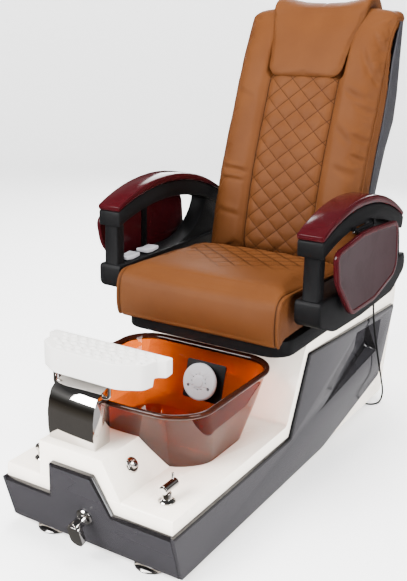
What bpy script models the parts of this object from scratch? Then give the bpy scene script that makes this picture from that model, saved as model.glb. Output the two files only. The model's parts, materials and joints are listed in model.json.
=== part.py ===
"""Pedicure spa chair: a foot-bath base with a sliding, reclining massage seat on top.

Lengths are metres. While modelling, y is measured backwards from the face of the front panel and z upwards
from the lower edge of the black panels. The `datum` empty then puts the origin on the floor, under the middle
of the chair: +X is the sitter's left, +Y is the rear, +Z is up.
"""
import math

import bpy
from mathutils import Matrix, Vector

# ---------------------------------------------------------------- driving dimensions
FOOT_H = 0.020            # floor to the lower edge of the panels
MIDDLE_Y = 0.7730         # front panel to the middle of the whole chair
GAP = 0.0004              # air between pieces that touch
WALL = 0.012              # moulded wall of the base

BASE_W = 0.280            # half width of the moulded base
PANEL_W = 0.290           # half width over the black side panels
PANEL_H = 0.144           # height of the low stretch of the black panels
LEAN = 0.045              # how far the foot of the front panel is set back
DECK_Z = 0.183            # deck around the foot bowl
RISER_Z = 0.286           # flat top of the riser that carries the waterfall hood
SHELF_Z = 0.415           # shelf that the seat slides on
COLUMN_Z = 0.500          # top of the pipe housing behind the seat
COLUMN_Y = 1.270          # its front
REAR_Y = 1.590            # rear of the base

RIM_Z = 0.402             # rim of the foot bowl
SEAT_W = 0.292            # half width of the seat pan
SEAT_FRONT, SEAT_REAR = 0.590, 1.185
SEAT_TILT_Y, SEAT_TILT_Z = 1.170, 0.535     # recline axis
ARM_IN, ARM_OUT = 0.311, 0.394              # inner and outer faces of an armrest
ARM_AXIS_Y, ARM_AXIS_Z = 1.262, 0.560       # lift axis of an armrest
FLIP_X, FLIP_Z = 0.400, 0.790               # hinge line of a side tray
CORD_R = 0.0035

FRONT_LEAN = math.atan2(LEAN, PANEL_H)

# height above the panels' edge and distance back of the backrest's leather face
BACK_FACE = [(0.575, 1.097), (0.610, 1.100), (0.700, 1.115), (0.855, 1.150), (0.976, 1.190), (1.070, 1.228),
             (1.165, 1.262), (1.250, 1.295), (1.345, 1.346), (1.380, 1.377)]
SHELL_REAR = [(0.700, 1.245), (0.825, 1.290), (0.955, 1.350), (1.050, 1.413), (1.140, 1.430), (1.385, 1.440)]

# ---------------------------------------------------------------- finishes: colour, roughness, metallic
FINISHES = {
    "cream_gelcoat": ((0.83, 0.78, 0.71), 0.22, 0.0),
    "black_gloss": ((0.012, 0.011, 0.012), 0.10, 0.0),
    "amber_resin": ((0.42, 0.09, 0.02), 0.10, 0.0),
    "chrome": ((0.80, 0.80, 0.82), 0.08, 1.0),
    "white_plastic": ((0.83, 0.83, 0.81), 0.35, 0.0),
    "grey_plastic": ((0.62, 0.63, 0.64), 0.35, 0.0),
    "black_plastic": ((0.020, 0.020, 0.021), 0.48, 0.0),
    "shell_grey": ((0.045, 0.045, 0.050), 0.45, 0.0),
    "tan_leather": ((0.38, 0.15, 0.055), 0.42, 0.0),
    "burgundy_gloss": ((0.055, 0.006, 0.008), 0.12, 0.0),
    "frame_steel": ((0.06, 0.06, 0.065), 0.50, 0.6),
    "bright_steel": ((0.55, 0.55, 0.56), 0.28, 1.0),
    "black_rubber": ((0.015, 0.015, 0.015), 0.65, 0.0),
}

for thing in list(bpy.data.objects):
    bpy.data.objects.remove(thing, do_unlink=True)

POINTS = {}               # each empty's place, in modelling coordinates


# ---------------------------------------------------------------- small tools
def finish(name):
    found = bpy.data.materials.get(name)
    if found:
        return found
    colour, roughness, metallic = FINISHES[name]
    made = bpy.data.materials.new(name)
    made.use_nodes = True
    shader = made.node_tree.nodes["Principled BSDF"]
    shader.inputs["Base Color"].default_value = (*colour, 1.0)
    shader.inputs["Roughness"].default_value = roughness
    shader.inputs["Metallic"].default_value = metallic
    return made


def attach(thing, parent):
    """Parent without moving: the parent's own place is taken off again."""
    thing.parent = parent
    thing.matrix_parent_inverse = Matrix.Translation(-POINTS[parent.name])


def pivot(name, point, parent=None):
    """An empty on a joint's axis; what moves with the joint is parented to it."""
    empty = bpy.data.objects.new(name, None)
    empty.empty_display_size = 0.03
    bpy.context.collection.objects.link(empty)
    POINTS[name] = Vector(point)
    if parent:
        empty.location = point
        attach(empty, parent)
    return empty


def solid(name, points, faces, colour, parent, smooth=True):
    """A mesh object with outward faces; colour None makes it a cutter or a guide."""
    mesh = bpy.data.meshes.new(name)
    mesh.from_pydata([tuple(p) for p in points], [], faces)
    mesh.update()
    import bmesh
    work = bmesh.new()
    work.from_mesh(mesh)
    bmesh.ops.remove_doubles(work, verts=work.verts, dist=1e-6)
    bmesh.ops.recalc_face_normals(work, faces=work.faces)
    work.to_mesh(mesh)
    work.free()
    thing = bpy.data.objects.new(name, mesh)
    bpy.context.collection.objects.link(thing)
    if smooth:
        mesh.shade_smooth()
        mesh.set_sharp_from_angle(angle=math.radians(35))
    if colour:
        mesh.materials.append(finish(colour))
    else:
        thing.hide_render = True
        thing.display_type = "WIRE"
    attach(thing, parent)
    return thing


def rounded(corners, steps=3):
    """A closed outline from (a, b, radius) corners, each turned into an arc of its radius."""
    outline = []
    count = len(corners)
    for i, corner in enumerate(corners):
        here = Vector(corner[:2])
        radius = corner[2] if len(corner) > 2 else 0.0
        back = (Vector(corners[i - 1][:2]) - here).normalized()
        ahead = (Vector(corners[(i + 1) % count][:2]) - here).normalized()
        half = back.angle(ahead) / 2
        if radius == 0.0 or half > 1.55:
            outline.append(tuple(here))
            continue
        centre = here + (back + ahead).normalized() * (radius / math.sin(half))
        start = here + back * (radius / math.tan(half)) - centre
        turn = math.pi - 2 * half
        if back.x * ahead.y - back.y * ahead.x > 0:
            turn = -turn
        for k in range(steps + 1):
            angle = turn * k / steps
            c, s = math.cos(angle), math.sin(angle)
            outline.append((centre.x + c * start.x - s * start.y, centre.y + s * start.x + c * start.y))
    return outline


def loft(name, rings, colour, parent):
    """Skin over rings of equal count, capped at both ends."""
    count = len(rings[0])
    points = [p for ring in rings for p in ring]
    faces = []
    for k in range(len(rings) - 1):
        for i in range(count):
            j = (i + 1) % count
            faces.append((k * count + i, k * count + j, (k + 1) * count + j, (k + 1) * count + i))
    faces.append(tuple(range(count)))
    last = (len(rings) - 1) * count
    faces.append(tuple(range(last, last + count)))
    return solid(name, points, faces, colour, parent)


def prism(name, outline, axis, low, high, colour, parent):
    """An outline pushed along X (outline in y, z), Y (in x, z) or Z (in x, y)."""
    place = {
        "X": lambda a, b, d: (d, a, b),
        "Y": lambda a, b, d: (a, d, b),
        "Z": lambda a, b, d: (a, b, d),
    }[axis]
    rings = [[place(a, b, depth) for a, b in outline] for depth in (low, high)]
    return loft(name, rings, colour, parent)


def block(name, low, high, colour, parent):
    outline = [(low[1], low[2]), (high[1], low[2]), (high[1], high[2]), (low[1], high[2])]
    return prism(name, outline, "X", low[0], high[0], colour, parent)


def turned(name, profile, base, axis, colour, parent, sides=24):
    """A lathe piece. profile holds (radius, height) pairs from the base along the axis, as a closed section."""
    along = Vector(axis).normalized()
    turn = along.to_track_quat("Z", "Y").to_matrix()
    points, faces, rows = [], [], []
    for radius, height in profile:
        if radius < 1e-6:
            rows.append([len(points)] * sides)
            points.append(Vector(base) + turn @ Vector((0, 0, height)))
            continue
        rows.append(list(range(len(points), len(points) + sides)))
        for k in range(sides):
            angle = 2 * math.pi * k / sides
            ring = Vector((radius * math.cos(angle), radius * math.sin(angle), height))
            points.append(Vector(base) + turn @ ring)
    closed = profile[0][0] > 1e-6 and profile[-1][0] > 1e-6
    for k in range(len(rows) if closed else len(rows) - 1):
        first, second = rows[k], rows[(k + 1) % len(rows)]
        for i in range(sides):
            j = (i + 1) % sides
            face = [first[i], first[j], second[j], second[i]]
            kept = [v for n, v in enumerate(face) if v not in face[:n]]
            if len(kept) > 2:
                faces.append(tuple(kept))
    return solid(name, points, faces, colour, parent)


def rod(name, start, end, radius, colour, parent, sides=16):
    length = (Vector(end) - Vector(start)).length
    profile = [(0, 0), (radius, 0), (radius, length), (0, length)]
    return turned(name, profile, start, Vector(end) - Vector(start), colour, parent, sides)


def smooth_path(points, spacing):
    """Points at an even spacing on a Catmull-Rom curve through the given ones."""
    knots = [Vector(p) for p in points]
    knots = [2 * knots[0] - knots[1]] + knots + [2 * knots[-1] - knots[-2]]
    dense = []
    for a, b, c, d in zip(knots, knots[1:], knots[2:], knots[3:]):
        for k in range(24):
            t = k / 24
            dense.append(0.5 * (2 * b + (c - a) * t + (2 * a - 5 * b + 4 * c - d) * t * t
                                + (3 * b - a - 3 * c + d) * t * t * t))
    dense.append(knots[-2])
    kept, run = [dense[0]], 0.0
    for before, here in zip(dense, dense[1:]):
        run += (here - before).length
        if run >= spacing:
            kept.append(here)
            run = 0.0
    kept[-1] = dense[-1]
    return kept


def tube(name, points, radius, colour, parent, resolution=2):
    """A round bar or cord along a line of points, as a bevelled curve with filled ends."""
    curve = bpy.data.curves.new(name, "CURVE")
    curve.dimensions = "3D"
    curve.bevel_depth = radius
    curve.bevel_resolution = resolution
    curve.use_fill_caps = True
    spline = curve.splines.new("POLY")
    spline.points.add(len(points) - 1)
    for slot, p in zip(spline.points, points):
        slot.co = (*p, 1.0)
    curve.materials.append(finish(colour))
    thing = bpy.data.objects.new(name, curve)
    bpy.context.collection.objects.link(thing)
    attach(thing, parent)
    return thing


def bevel(thing, width, segments=2, angle=30):
    edge = thing.modifiers.new("edges", "BEVEL")
    edge.width = width
    edge.segments = segments
    edge.limit_method = "ANGLE"
    edge.angle_limit = math.radians(angle)
    return thing


def combine(thing, other, how):
    """Join, cut or intersect with another object, which stays as a hidden guide."""
    other.hide_render = True
    other.display_type = "WIRE"
    step = thing.modifiers.new(how.lower(), "BOOLEAN")
    step.operation = how
    step.solver = "EXACT"
    step.object = other
    attach(other, thing.parent)
    return thing


def join(thing, *others):
    for other in others:
        combine(thing, other, "UNION")
    return thing


def cut(thing, *others):
    for other in others:
        combine(thing, other, "DIFFERENCE")
    return thing


def at(curve, z):
    """The y of a profile given as (z, y) pairs, on straight lines between them."""
    for (z0, y0), (z1, y1) in zip(curve, curve[1:]):
        if z <= z1:
            return y0 + (y1 - y0) * (z - z0) / (z1 - z0)
    return curve[-1][1]


# ---------------------------------------------------------------- joint axes
datum = pivot("datum", (0, 0, 0))
datum.location = (0, -MIDDLE_Y, FOOT_H)
seat = pivot("seat_slide", (0, 0.85, SHELF_Z), datum)
back = pivot("recline", (0, SEAT_TILT_Y, SEAT_TILT_Z), seat)

SIDES = {"left": 1, "right": -1}   # the sitter's left is +X


# ---------------------------------------------------------------- base moulding
def bowl_ring(z, grow=0.0, count=6):
    """One level of the foot bowl: a rectangle with round corners and a bowed front, `grow` larger all round."""
    table = [(0.070, 0.125, 0.300, 0.515, 0.060), (0.085, 0.150, 0.278, 0.535, 0.075),
             (0.183, 0.198, 0.232, 0.582, 0.090), (0.300, 0.232, 0.176, 0.612, 0.095),
             (0.380, 0.249, 0.132, 0.636, 0.098), (RIM_Z, 0.253, 0.1235, 0.641, 0.100)]
    low = max(k for k, row in enumerate(table[:-1]) if k == 0 or z >= row[0])
    a, b = table[low], table[low + 1]
    share = min(max((z - a[0]) / (b[0] - a[0]), 0.0), 1.0)
    half, front, rear, radius = (a[i] + (b[i] - a[i]) * share for i in range(1, 5))
    half, front, rear, radius = half + grow, front - grow, rear + grow, radius + grow
    ring = []
    for cx, cy, start in ((half - radius, rear - radius, 0), (radius - half, rear - radius, 90),
                          (radius - half, front + radius, 180), (half - radius, front + radius, 270)):
        for k in range(count + 1):
            angle = math.radians(start + 90 * k / count)
            ring.append((cx + radius * math.cos(angle), cy + radius * math.sin(angle)))
        if start == 180:
            ring += [((radius - half) * (1 - k / 3), front) for k in (1, 2, 3, 4, 5)]
    bow = 0.22 * front
    return [(x, y + bow * (x / half) ** 2 * max(0.0, (rear - y) / (rear - front)) ** 2, z) for x, y in ring]


def make_base():
    outer = rounded([(LEAN + 0.014, 0.0), (0.014, PANEL_H), (0.014, DECK_Z, 0.006), (0.660, DECK_Z, 0.020),
                     (0.775, SHELF_Z, 0.015), (COLUMN_Y, SHELF_Z), (COLUMN_Y + 0.006, COLUMN_Z, 0.010),
                     (REAR_Y, COLUMN_Z, 0.020), (REAR_Y - 0.004, 0.350), (REAR_Y - 0.090, 0.0)])
    tub = prism("tub_shell", outer, "X", -BASE_W, BASE_W, "cream_gelcoat", datum)
    riser = [(-0.158, 0.165), (-0.158, RISER_Z), (0.056, RISER_Z), (0.117, DECK_Z - 0.001), (0.117, 0.165)]
    join(tub, prism("riser_form", riser, "Y", 0.0155, 0.290, None, datum))
    hollow = [(LEAN + 0.028, -0.020), (0.028, 0.142), (0.028, DECK_Z - WALL), (0.667, DECK_Z - WALL),
              (0.782, SHELF_Z - WALL), (COLUMN_Y + WALL, SHELF_Z - WALL), (COLUMN_Y + WALL + 0.006, COLUMN_Z - WALL),
              (REAR_Y - WALL, COLUMN_Z - WALL), (REAR_Y - WALL - 0.004, 0.350), (REAR_Y - 0.103, -0.020)]
    inside = prism("base_hollow", hollow, "X", WALL - BASE_W, BASE_W - WALL, None, datum)
    under = [(-0.146, 0.150), (-0.146, RISER_Z - WALL), (0.049, RISER_Z - WALL), (0.104, DECK_Z - WALL - 0.001),
             (0.104, 0.150)]
    join(inside, prism("riser_hollow", under, "Y", 0.030, 0.290, None, datum))
    levels = (0.085, 0.183, 0.300, 0.380, 0.450)
    well = [[(x, y, 0.044) for x, y, _ in bowl_ring(0.070, WALL)]] + [bowl_ring(z, WALL) for z in levels]
    cut(inside, loft("well_wall_form", well, None, datum))
    room = [[(x, y, 0.0685) for x, y, _ in bowl_ring(0.070, 0.0012)]] + [bowl_ring(z, 0.0012) for z in levels]
    cut(tub, inside, loft("well_form", room, None, datum))
    for side, sign in SIDES.items():
        cut(tub, scoop("scoop_room_" + side, sign, 0.0045, None))
    return tub


def scoop(name, sign, grow, colour):
    """The wedge-shaped grip recess of a side panel: a sharp tip in front, deepest at its upper rear."""
    mouth = [(0.913 - 3 * grow, 0.153 - grow), (0.990, 0.203 + 1.4 * grow), (1.160 - grow, 0.283 + grow),
             (1.178 - grow, 0.337 + grow), (1.420 + grow, 0.320 + grow), (1.394 + grow, 0.203 - grow)]
    deep = [(1.195 - grow, 0.327 + grow), (1.394 + grow, 0.310 + grow), (1.372 + grow, 0.218 - grow)]
    face_x, deep_x = sign * (PANEL_W + 0.002), sign * (PANEL_W - 0.045 - grow)
    points = [(face_x, y, z) for y, z in mouth] + [(deep_x, y, z) for y, z in deep]
    faces = [(0, 1, 2, 3, 4, 5), (6, 7, 8), (3, 4, 7, 6), (4, 5, 8, 7), (5, 0, 8), (0, 6, 8), (0, 1, 6), (1, 2, 6),
             (2, 3, 6)]
    return solid(name, points, faces, colour, datum)


def make_side_panel(side, sign):
    outline = rounded([(LEAN + 0.001, 0.0), (0.001, PANEL_H, 0.003), (0.672, PANEL_H, 0.004), (0.790, 0.386, 0.012),
                       (1.562, 0.343, 0.010), (1.440, 0.090, 0.030), (0.930, 0.0, 0.200)])
    inner, outer = sign * (BASE_W + GAP), sign * PANEL_W
    panel = prism("side_panel_" + side, outline, "X", inner, outer, "black_gloss", datum)
    pocket = scoop("scoop_wall_" + side, sign, 0.0035, None)
    trim = block("scoop_trim_" + side, (sign * (BASE_W - 0.060), 0.850, 0.100),
                 (sign * (PANEL_W - 0.0005), 1.480, 0.400), None, datum)
    combine(pocket, trim, "INTERSECT")
    join(panel, pocket)
    cut(panel, scoop("scoop_" + side, sign, 0.0, None))


def make_front_panel():
    section = [(0.0, 0.260), (0.0, PANEL_H), (LEAN, 0.0), (LEAN + 0.0135, 0.0), (0.0135, PANEL_H), (0.0135, 0.260)]
    panel = prism("front_panel", section, "X", -PANEL_W - 0.01, PANEL_W + 0.01, "black_gloss", datum)
    edge = BASE_W - 0.0005
    outline = rounded([(-edge, -0.010), (-edge, PANEL_H - 0.0006), (-0.112, PANEL_H), (-0.112, 0.240, 0.005),
                       (0.033, 0.240, 0.008), (0.097, PANEL_H), (edge, PANEL_H - 0.0006), (edge, -0.010)])
    combine(panel, prism("front_outline", outline, "Y", -0.02, 0.08, None, datum), "INTERSECT")
    hole = rod("drain_hole", on_front(0.0, 0.106, -0.03), on_front(0.0, 0.106, 0.02), 0.0125, None, datum)
    cut(panel, hole)


def on_front(x, z, out):
    """A point `out` in front of the leaning lower face of the front panel."""
    y = LEAN * (1 - z / PANEL_H)
    return (x, y - out * math.cos(FRONT_LEAN), z - out * math.sin(FRONT_LEAN))


def make_floor_frame():
    bar, top = 0.0125, 0.0245
    rail_x, front, rear = 0.170, 0.075, 1.400
    frame = block("floor_frame", (-rail_x - bar, front, GAP), (bar - rail_x, rear, top), "frame_steel", datum)
    join(frame, block("frame_rail", (rail_x - bar, front, GAP), (rail_x + bar, rear, top), None, datum))
    for k, y in enumerate((0.095, 0.640, 1.050, 1.375)):
        join(frame, block(f"frame_cross_{k}", (-0.262, y - bar, GAP), (0.262, y + bar, top), None, datum))
    for row, y in (("front", 0.066), ("rear", 1.290)):
        for side, sign in SIDES.items():
            profile = [(0, 0), (0.046, 0), (0.050, 0.003), (0.050, 0.006), (0.034, 0.011), (0.008, 0.012),
                       (0.008, FOOT_H - GAP), (0, FOOT_H - GAP)]
            y_foot = y if row == "rear" else y + 0.020
            turned(f"foot_{row}_{side}", profile, (sign * rail_x, y_foot, -FOOT_H), (0, 0, 1), "chrome", datum)


def make_bowl():
    wall = 0.006
    lip = 0.008
    outside = [bowl_ring(z) for z in (0.070, 0.085, 0.183, 0.300, 0.380)]
    rim = [bowl_ring(0.384, lip), bowl_ring(RIM_Z - 0.004, lip + 0.001), bowl_ring(RIM_Z, lip - 0.002)]
    inside = [bowl_ring(RIM_Z, -wall + 0.003)] + [bowl_ring(z, -wall) for z in (0.392, 0.300, 0.183, 0.092)]
    floor = [[(x, y, 0.077) for x, y, _ in bowl_ring(0.070, -wall - 0.004)]]
    loft("foot_bowl", outside + rim + inside + floor, "amber_resin", datum)
    drain = [(0, 0), (0.022, 0), (0.024, 0.002), (0.020, 0.004), (0, 0.005)]
    turned("bowl_drain", drain, (0.0, 0.430, 0.077 + GAP), (0, 0, 1), "chrome", datum)


def jet_axis():
    """Centre of the jet on the bowl's rear wall, and the wall's inward normal."""
    low, middle, high = (max(p[1] for p in bowl_ring(z, -0.006)) for z in (0.200, 0.292, 0.380))
    normal = Vector((0, -1, (high - low) / 0.180)).normalized()
    return Vector((0.016, middle, 0.292)), normal


def make_jet():
    spot, normal = jet_axis()
    up = Vector((1, 0, 0)).cross(normal)
    if up.z < 0:
        up = -up
    corners = rounded([(-0.070, -0.062, 0.006), (0.070, -0.062, 0.006), (0.070, 0.062, 0.006),
                       (-0.070, 0.062, 0.006)], 2)
    rings = []
    for out in (0.0008, 0.0050):
        rings.append([spot + Vector((a, 0, 0)) + up * b + normal * out for a, b in corners])
    loft("jet_plate", rings, "black_plastic", datum)
    housing = [(0, 0), (0.046, 0), (0.046, 0.020), (0.040, 0.020), (0.040, 0.004), (0, 0.004)]
    turned("jet_housing", housing, spot + normal * 0.0056, normal, "grey_plastic", datum)
    cover = [(0, 0), (0.056, 0), (0.059, 0.002), (0.059, 0.008), (0.054, 0.012), (0.018, 0.013), (0.015, 0.016),
             (0, 0.016)]
    shell = turned("jet_cover", cover, spot + normal * 0.0262, normal, "white_plastic", datum, 32)
    for k, (a, b) in enumerate(((-0.036, -0.016), (0.036, -0.016))):
        mid = spot + Vector((a, 0, 0)) + up * b + normal * 0.02
        cut(shell, rod(f"jet_nozzle_{k}", mid, mid + normal * 0.03, 0.0055, None, datum, 12))
    for k in range(12):
        angle = 2 * math.pi * k / 12
        mid = spot + Vector((0.025 * math.cos(angle), 0, 0)) + up * 0.025 * math.sin(angle) + normal * 0.02
        cut(shell, rod(f"jet_hole_{k}", mid, mid + normal * 0.03, 0.0022, None, datum, 8))
    hub_at = spot + normal * 0.0102
    spinner = pivot("impeller_spin", hub_at, datum)
    wheel = turned("jet_impeller", [(0, 0), (0.010, 0), (0.010, 0.012), (0, 0.012)], hub_at, normal,
                   "black_plastic", spinner, 12)
    for k in range(6):
        angle = 2 * math.pi * k / 6
        out = Vector((math.cos(angle), 0, 0)) + up * math.sin(angle)
        across = normal.cross(out) * 0.0015
        ends = [hub_at + out * r + across * s + normal * h for h in (0.002, 0.011) for r, s in
                ((0.006, -1), (0.034, -1), (0.034, 1), (0.006, 1))]
        faces = [(0, 1, 2, 3), (4, 5, 6, 7), (0, 1, 5, 4), (1, 2, 6, 5), (2, 3, 7, 6), (3, 0, 4, 7)]
        join(wheel, solid(f"impeller_blade_{k}", ends, faces, None, spinner))
    motor = [(0, 0), (0.042, 0), (0.042, 0.030), (0.030, 0.040), (0, 0.040)]
    turned("jet_motor", motor, spot - normal * 0.0085, -normal, "black_plastic", datum)


# ---------------------------------------------------------------- hood, foot rest and taps
HOOD_LEFT, HOOD_RIGHT = -0.145, 0.011
HOOD_FACE = [(0.046, RISER_Z + GAP), (0.040, 0.325), (0.040, 0.368), (0.046, 0.402), (0.058, 0.427), (0.076, 0.440),
             (0.098, 0.448), (0.139, 0.4575)]
TILT_Y, TILT_Z = 0.094, 0.424


def make_hood():
    sheet = 0.003
    outer = HOOD_FACE + [(0.139, 0.4535), (0.1120, 0.4470), (0.1120, RISER_Z + GAP)]
    hood = prism("waterfall_cover", outer, "X", HOOD_LEFT, HOOD_RIGHT, "chrome", datum)
    inner = [(0.046 + sheet, 0.270), (0.040 + sheet, 0.325), (0.040 + sheet, 0.367), (0.0488, 0.4005),
             (0.0600, 0.4238), (0.0772, 0.4368), (0.0990, 0.4446), (0.1085, 0.4465), (0.150, 0.4462), (0.150, 0.270)]
    cut(hood, prism("hood_room", inner, "X", HOOD_LEFT + sheet, HOOD_RIGHT - sheet, None, datum))
    cut(hood, rod("hood_axle_hole", (-0.2, TILT_Y, TILT_Z), (0.1, TILT_Y, TILT_Z), 0.0054, None, datum, 20))


def make_foot_rest():
    tilt = pivot("footrest_tilt", (0, TILT_Y, TILT_Z), datum)
    mid, top, low = -0.035, 0.535, 0.465
    plan = rounded([(0.192, 0.202, 0.006), (0.192, 0.170, 0.008), (0.168, 0.158, 0.010), (0.160, 0.112, 0.030),
                    (0.100, 0.080, 0.080), (-0.120, 0.080, 0.080), (-0.182, 0.112, 0.030), (-0.188, 0.158, 0.010),
                    (-0.210, 0.170, 0.008), (-0.210, 0.202, 0.006)], 5)
    plan = [(mid + x, y - 0.006 * (1 - (x / 0.192) ** 2) * (y < 0.15)) for x, y in plan]
    pad = prism("footrest_pad", plan, "Z", low, top, "white_plastic", tilt)
    shelf = [(0.140, 0.440), (0.230, 0.440), (0.230, 0.492), (0.150, 0.486)]
    cut(pad, prism("pad_underside", shelf, "X", mid - 0.25, mid + 0.25, None, tilt))
    left, right, end, bend = mid - 0.126, mid + 0.061, low - GAP, 0.012
    path = [(left, TILT_Y, end)]
    for corner, sign in ((left, 1), (right, -1)):
        arc = []
        for k in range(5):
            angle = math.radians(22.5 * k)
            x = corner + sign * bend * (1 - math.cos(angle))
            arc.append((x, TILT_Y, TILT_Z + bend * (1 - math.sin(angle))))
        path += arc if sign > 0 else arc[::-1]
    path.append((right, TILT_Y, end))
    tube("footrest_rod", path, 0.005, "chrome", tilt, 2)


def make_taps():
    for side, sign in SIDES.items():
        spot = (sign * 0.212, 0.090, DECK_Z + GAP)
        base = [(0, 0), (0.023, 0), (0.024, 0.003), (0.019, 0.007), (0.014, 0.010), (0.013, 0.026), (0, 0.026)]
        turned("mixer_base_" + side, base, spot, (0, 0, 1), "chrome", datum)
        turn = pivot("mixer_turn_" + side, spot, datum)
        centre_z = spot[2] + 0.0264 + 0.0125
        start, end = (spot[0], spot[1] - 0.018, centre_z), (spot[0], spot[1] + 0.040, centre_z)
        handle = rod("mixer_handle_" + side, start, end, 0.0125, "chrome", turn, 20)
        join(handle, rod("mixer_stub_" + side, (spot[0], spot[1] + 0.028, centre_z),
                         (spot[0] - sign * 0.004, spot[1] + 0.034, centre_z + 0.028), 0.0035, None, turn, 10))
    normal = Vector((0.103, 0, 0.061)).normalized()
    spot = Vector((0.0835, 0.112, 0.2396)) + normal * 0.0006
    collar = [(0.0125, 0), (0.0215, 0), (0.0225, 0.003), (0.020, 0.006), (0.014, 0.007), (0.0125, 0.005)]
    turned("diverter_collar", collar, spot, normal, "chrome", datum)
    turn = pivot("diverter_turn", spot, datum)
    knob = [(0, 0), (0.0118, 0), (0.0118, 0.010), (0.0095, 0.016), (0, 0.018)]
    turned("diverter_knob", knob, spot, normal, "chrome", turn, 20)
    out = Vector(on_front(0, 0.106, 1)) - Vector(on_front(0, 0.106, 0))
    seat_at = Vector(on_front(0, 0.106, GAP))
    flange = [(0, 0), (0.024, 0), (0.0255, 0.003), (0.022, 0.008), (0.013, 0.010), (0.012, 0.024), (0, 0.024)]
    turned("drain_flange", flange, seat_at, out, "chrome", datum)
    turn = pivot("drain_turn", seat_at, datum)
    hub_at = seat_at + out * 0.0244
    lever = turned("drain_lever", [(0, 0), (0.016, 0), (0.016, 0.024), (0, 0.024)], hub_at, out, "chrome", turn)
    down = Vector((0, -out.z, out.y)).normalized()
    if down.z > 0:
        down = -down
    blade = rounded([(-0.021, -0.010, 0.010), (0.021, -0.010, 0.010), (0.021, 0.058, 0.014), (-0.021, 0.058, 0.020)])
    rings = [[hub_at + out * d + down * b + Vector((a, 0, 0)) for a, b in blade] for d in (0.013, 0.030)]
    join(lever, loft("drain_blade", rings, None, turn))


# ---------------------------------------------------------------- seat slide and seat
RAIL_X = 0.245
CARRIAGE_LOW, CARRIAGE_TOP = 0.4312, 0.4550


def make_slide():
    for side, sign in SIDES.items():
        block("seat_rail_" + side, (sign * RAIL_X - 0.011, 0.800, SHELF_Z + GAP),
              (sign * RAIL_X + 0.011, 1.262, 0.4306), "bright_steel", datum)
    base_z, rod_z = SHELF_Z + GAP, 0.4225
    drive = block("slide_motor", (0.070, 1.222, base_z), (0.112, 1.264, 0.4300), "black_plastic", datum)
    sleeve = [(0.0044, 0), (0.0065, 0), (0.0065, 0.275), (0.0044, 0.275)]
    join(drive, turned("slide_sleeve", sleeve, (0.090, 0.950, rod_z), (0, 1, 0), None, datum, 16))
    cut(drive, rod("slide_bore", (0.090, 0.940, rod_z), (0.090, 1.218, rod_z), 0.0044, None, datum, 16))
    pusher = rod("slide_rod", (0.090, 0.786, rod_z), (0.090, 1.150, rod_z), 0.0036, "bright_steel", seat, 12)
    join(pusher, block("slide_lug", (0.080, 0.778, 0.4168), (0.100, 0.790, CARRIAGE_LOW - GAP), None, seat))


def make_carriage():
    low, top = CARRIAGE_LOW, CARRIAGE_TOP
    frame = block("seat_carriage", (-0.258, 0.660, low), (-0.232, 1.200, top), "frame_steel", seat)
    join(frame, block("carriage_side", (0.232, 0.660, low), (0.258, 1.200, top), None, seat))
    join(frame, block("carriage_front", (-0.240, 0.670, low + 0.001), (0.240, 0.694, top - 0.001), None, seat))
    join(frame, block("carriage_mid", (-0.240, 0.780, low + 0.001), (0.240, 0.802, top - 0.001), None, seat))
    join(frame, block("carriage_tail", (-0.304, 1.192, low + 0.001), (0.304, 1.215, top - 0.001), None, seat))
    for side, sign in SIDES.items():
        ear = rounded([(1.150, low + 0.002), (1.192, low + 0.002), (1.192, 0.545, 0.018), (1.150, 0.545, 0.018)])
        join(frame, prism("recline_ear_" + side, ear, "X", sign * 0.2505, sign * 0.2575, None, seat))
        join(frame, rod("recline_stub_" + side, (sign * 0.222, SEAT_TILT_Y, SEAT_TILT_Z),
                        (sign * 0.253, SEAT_TILT_Y, SEAT_TILT_Z), 0.0080, None, seat, 20))
        bracket = rounded([(1.194, low + 0.002), (1.213, low + 0.002), (1.236, 0.510), (1.284, 0.535, 0.010),
                           (1.288, 0.585, 0.010), (1.240, 0.588, 0.010), (1.194, 0.500)])
        join(frame, prism("arm_bracket_" + side, bracket, "X", sign * 0.2955, sign * 0.3035, None, seat))
        join(frame, rod("arm_stub_" + side, (sign * 0.300, ARM_AXIS_Y, ARM_AXIS_Z),
                        (sign * 0.345, ARM_AXIS_Y, ARM_AXIS_Z), 0.0100, None, seat, 20))


def make_seat():
    top = 0.4745
    plan = rounded([(-SEAT_W, SEAT_REAR), (-SEAT_W, SEAT_FRONT, 0.070), (SEAT_W, SEAT_FRONT, 0.070),
                    (SEAT_W, SEAT_REAR)], 5)
    inner = SEAT_W - 0.006
    room = rounded([(-inner, 1.250), (-inner, SEAT_FRONT + 0.006, 0.064), (inner, SEAT_FRONT + 0.006, 0.064),
                    (inner, 1.250)], 5)
    skirt = prism("seat_skirt", plan, "Z", 0.4250, top, "black_plastic", seat)
    cut(skirt, prism("skirt_room", room, "Z", 0.400, top - 0.006, None, seat))
    cut(skirt, block("skirt_tail", (-inner, 1.100, 0.400), (inner, 1.250, 0.500), None, seat))
    side = rounded([(0.5870, 0.4765, 0.004), (0.5850, 0.4560, 0.012), (0.5480, 0.4540, 0.022),
                    (0.536, 0.520, 0.060), (0.543, 0.632, 0.040), (0.720, 0.632, 0.5),
                    (1.000, 0.618, 0.5), (1.088, 0.614, 0.020), (1.088, 0.4765, 0.010)], 4)
    bevel(prism("seat_cushion", side, "X", -0.298, 0.298, "tan_leather", seat), 0.010, 2)


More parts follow.
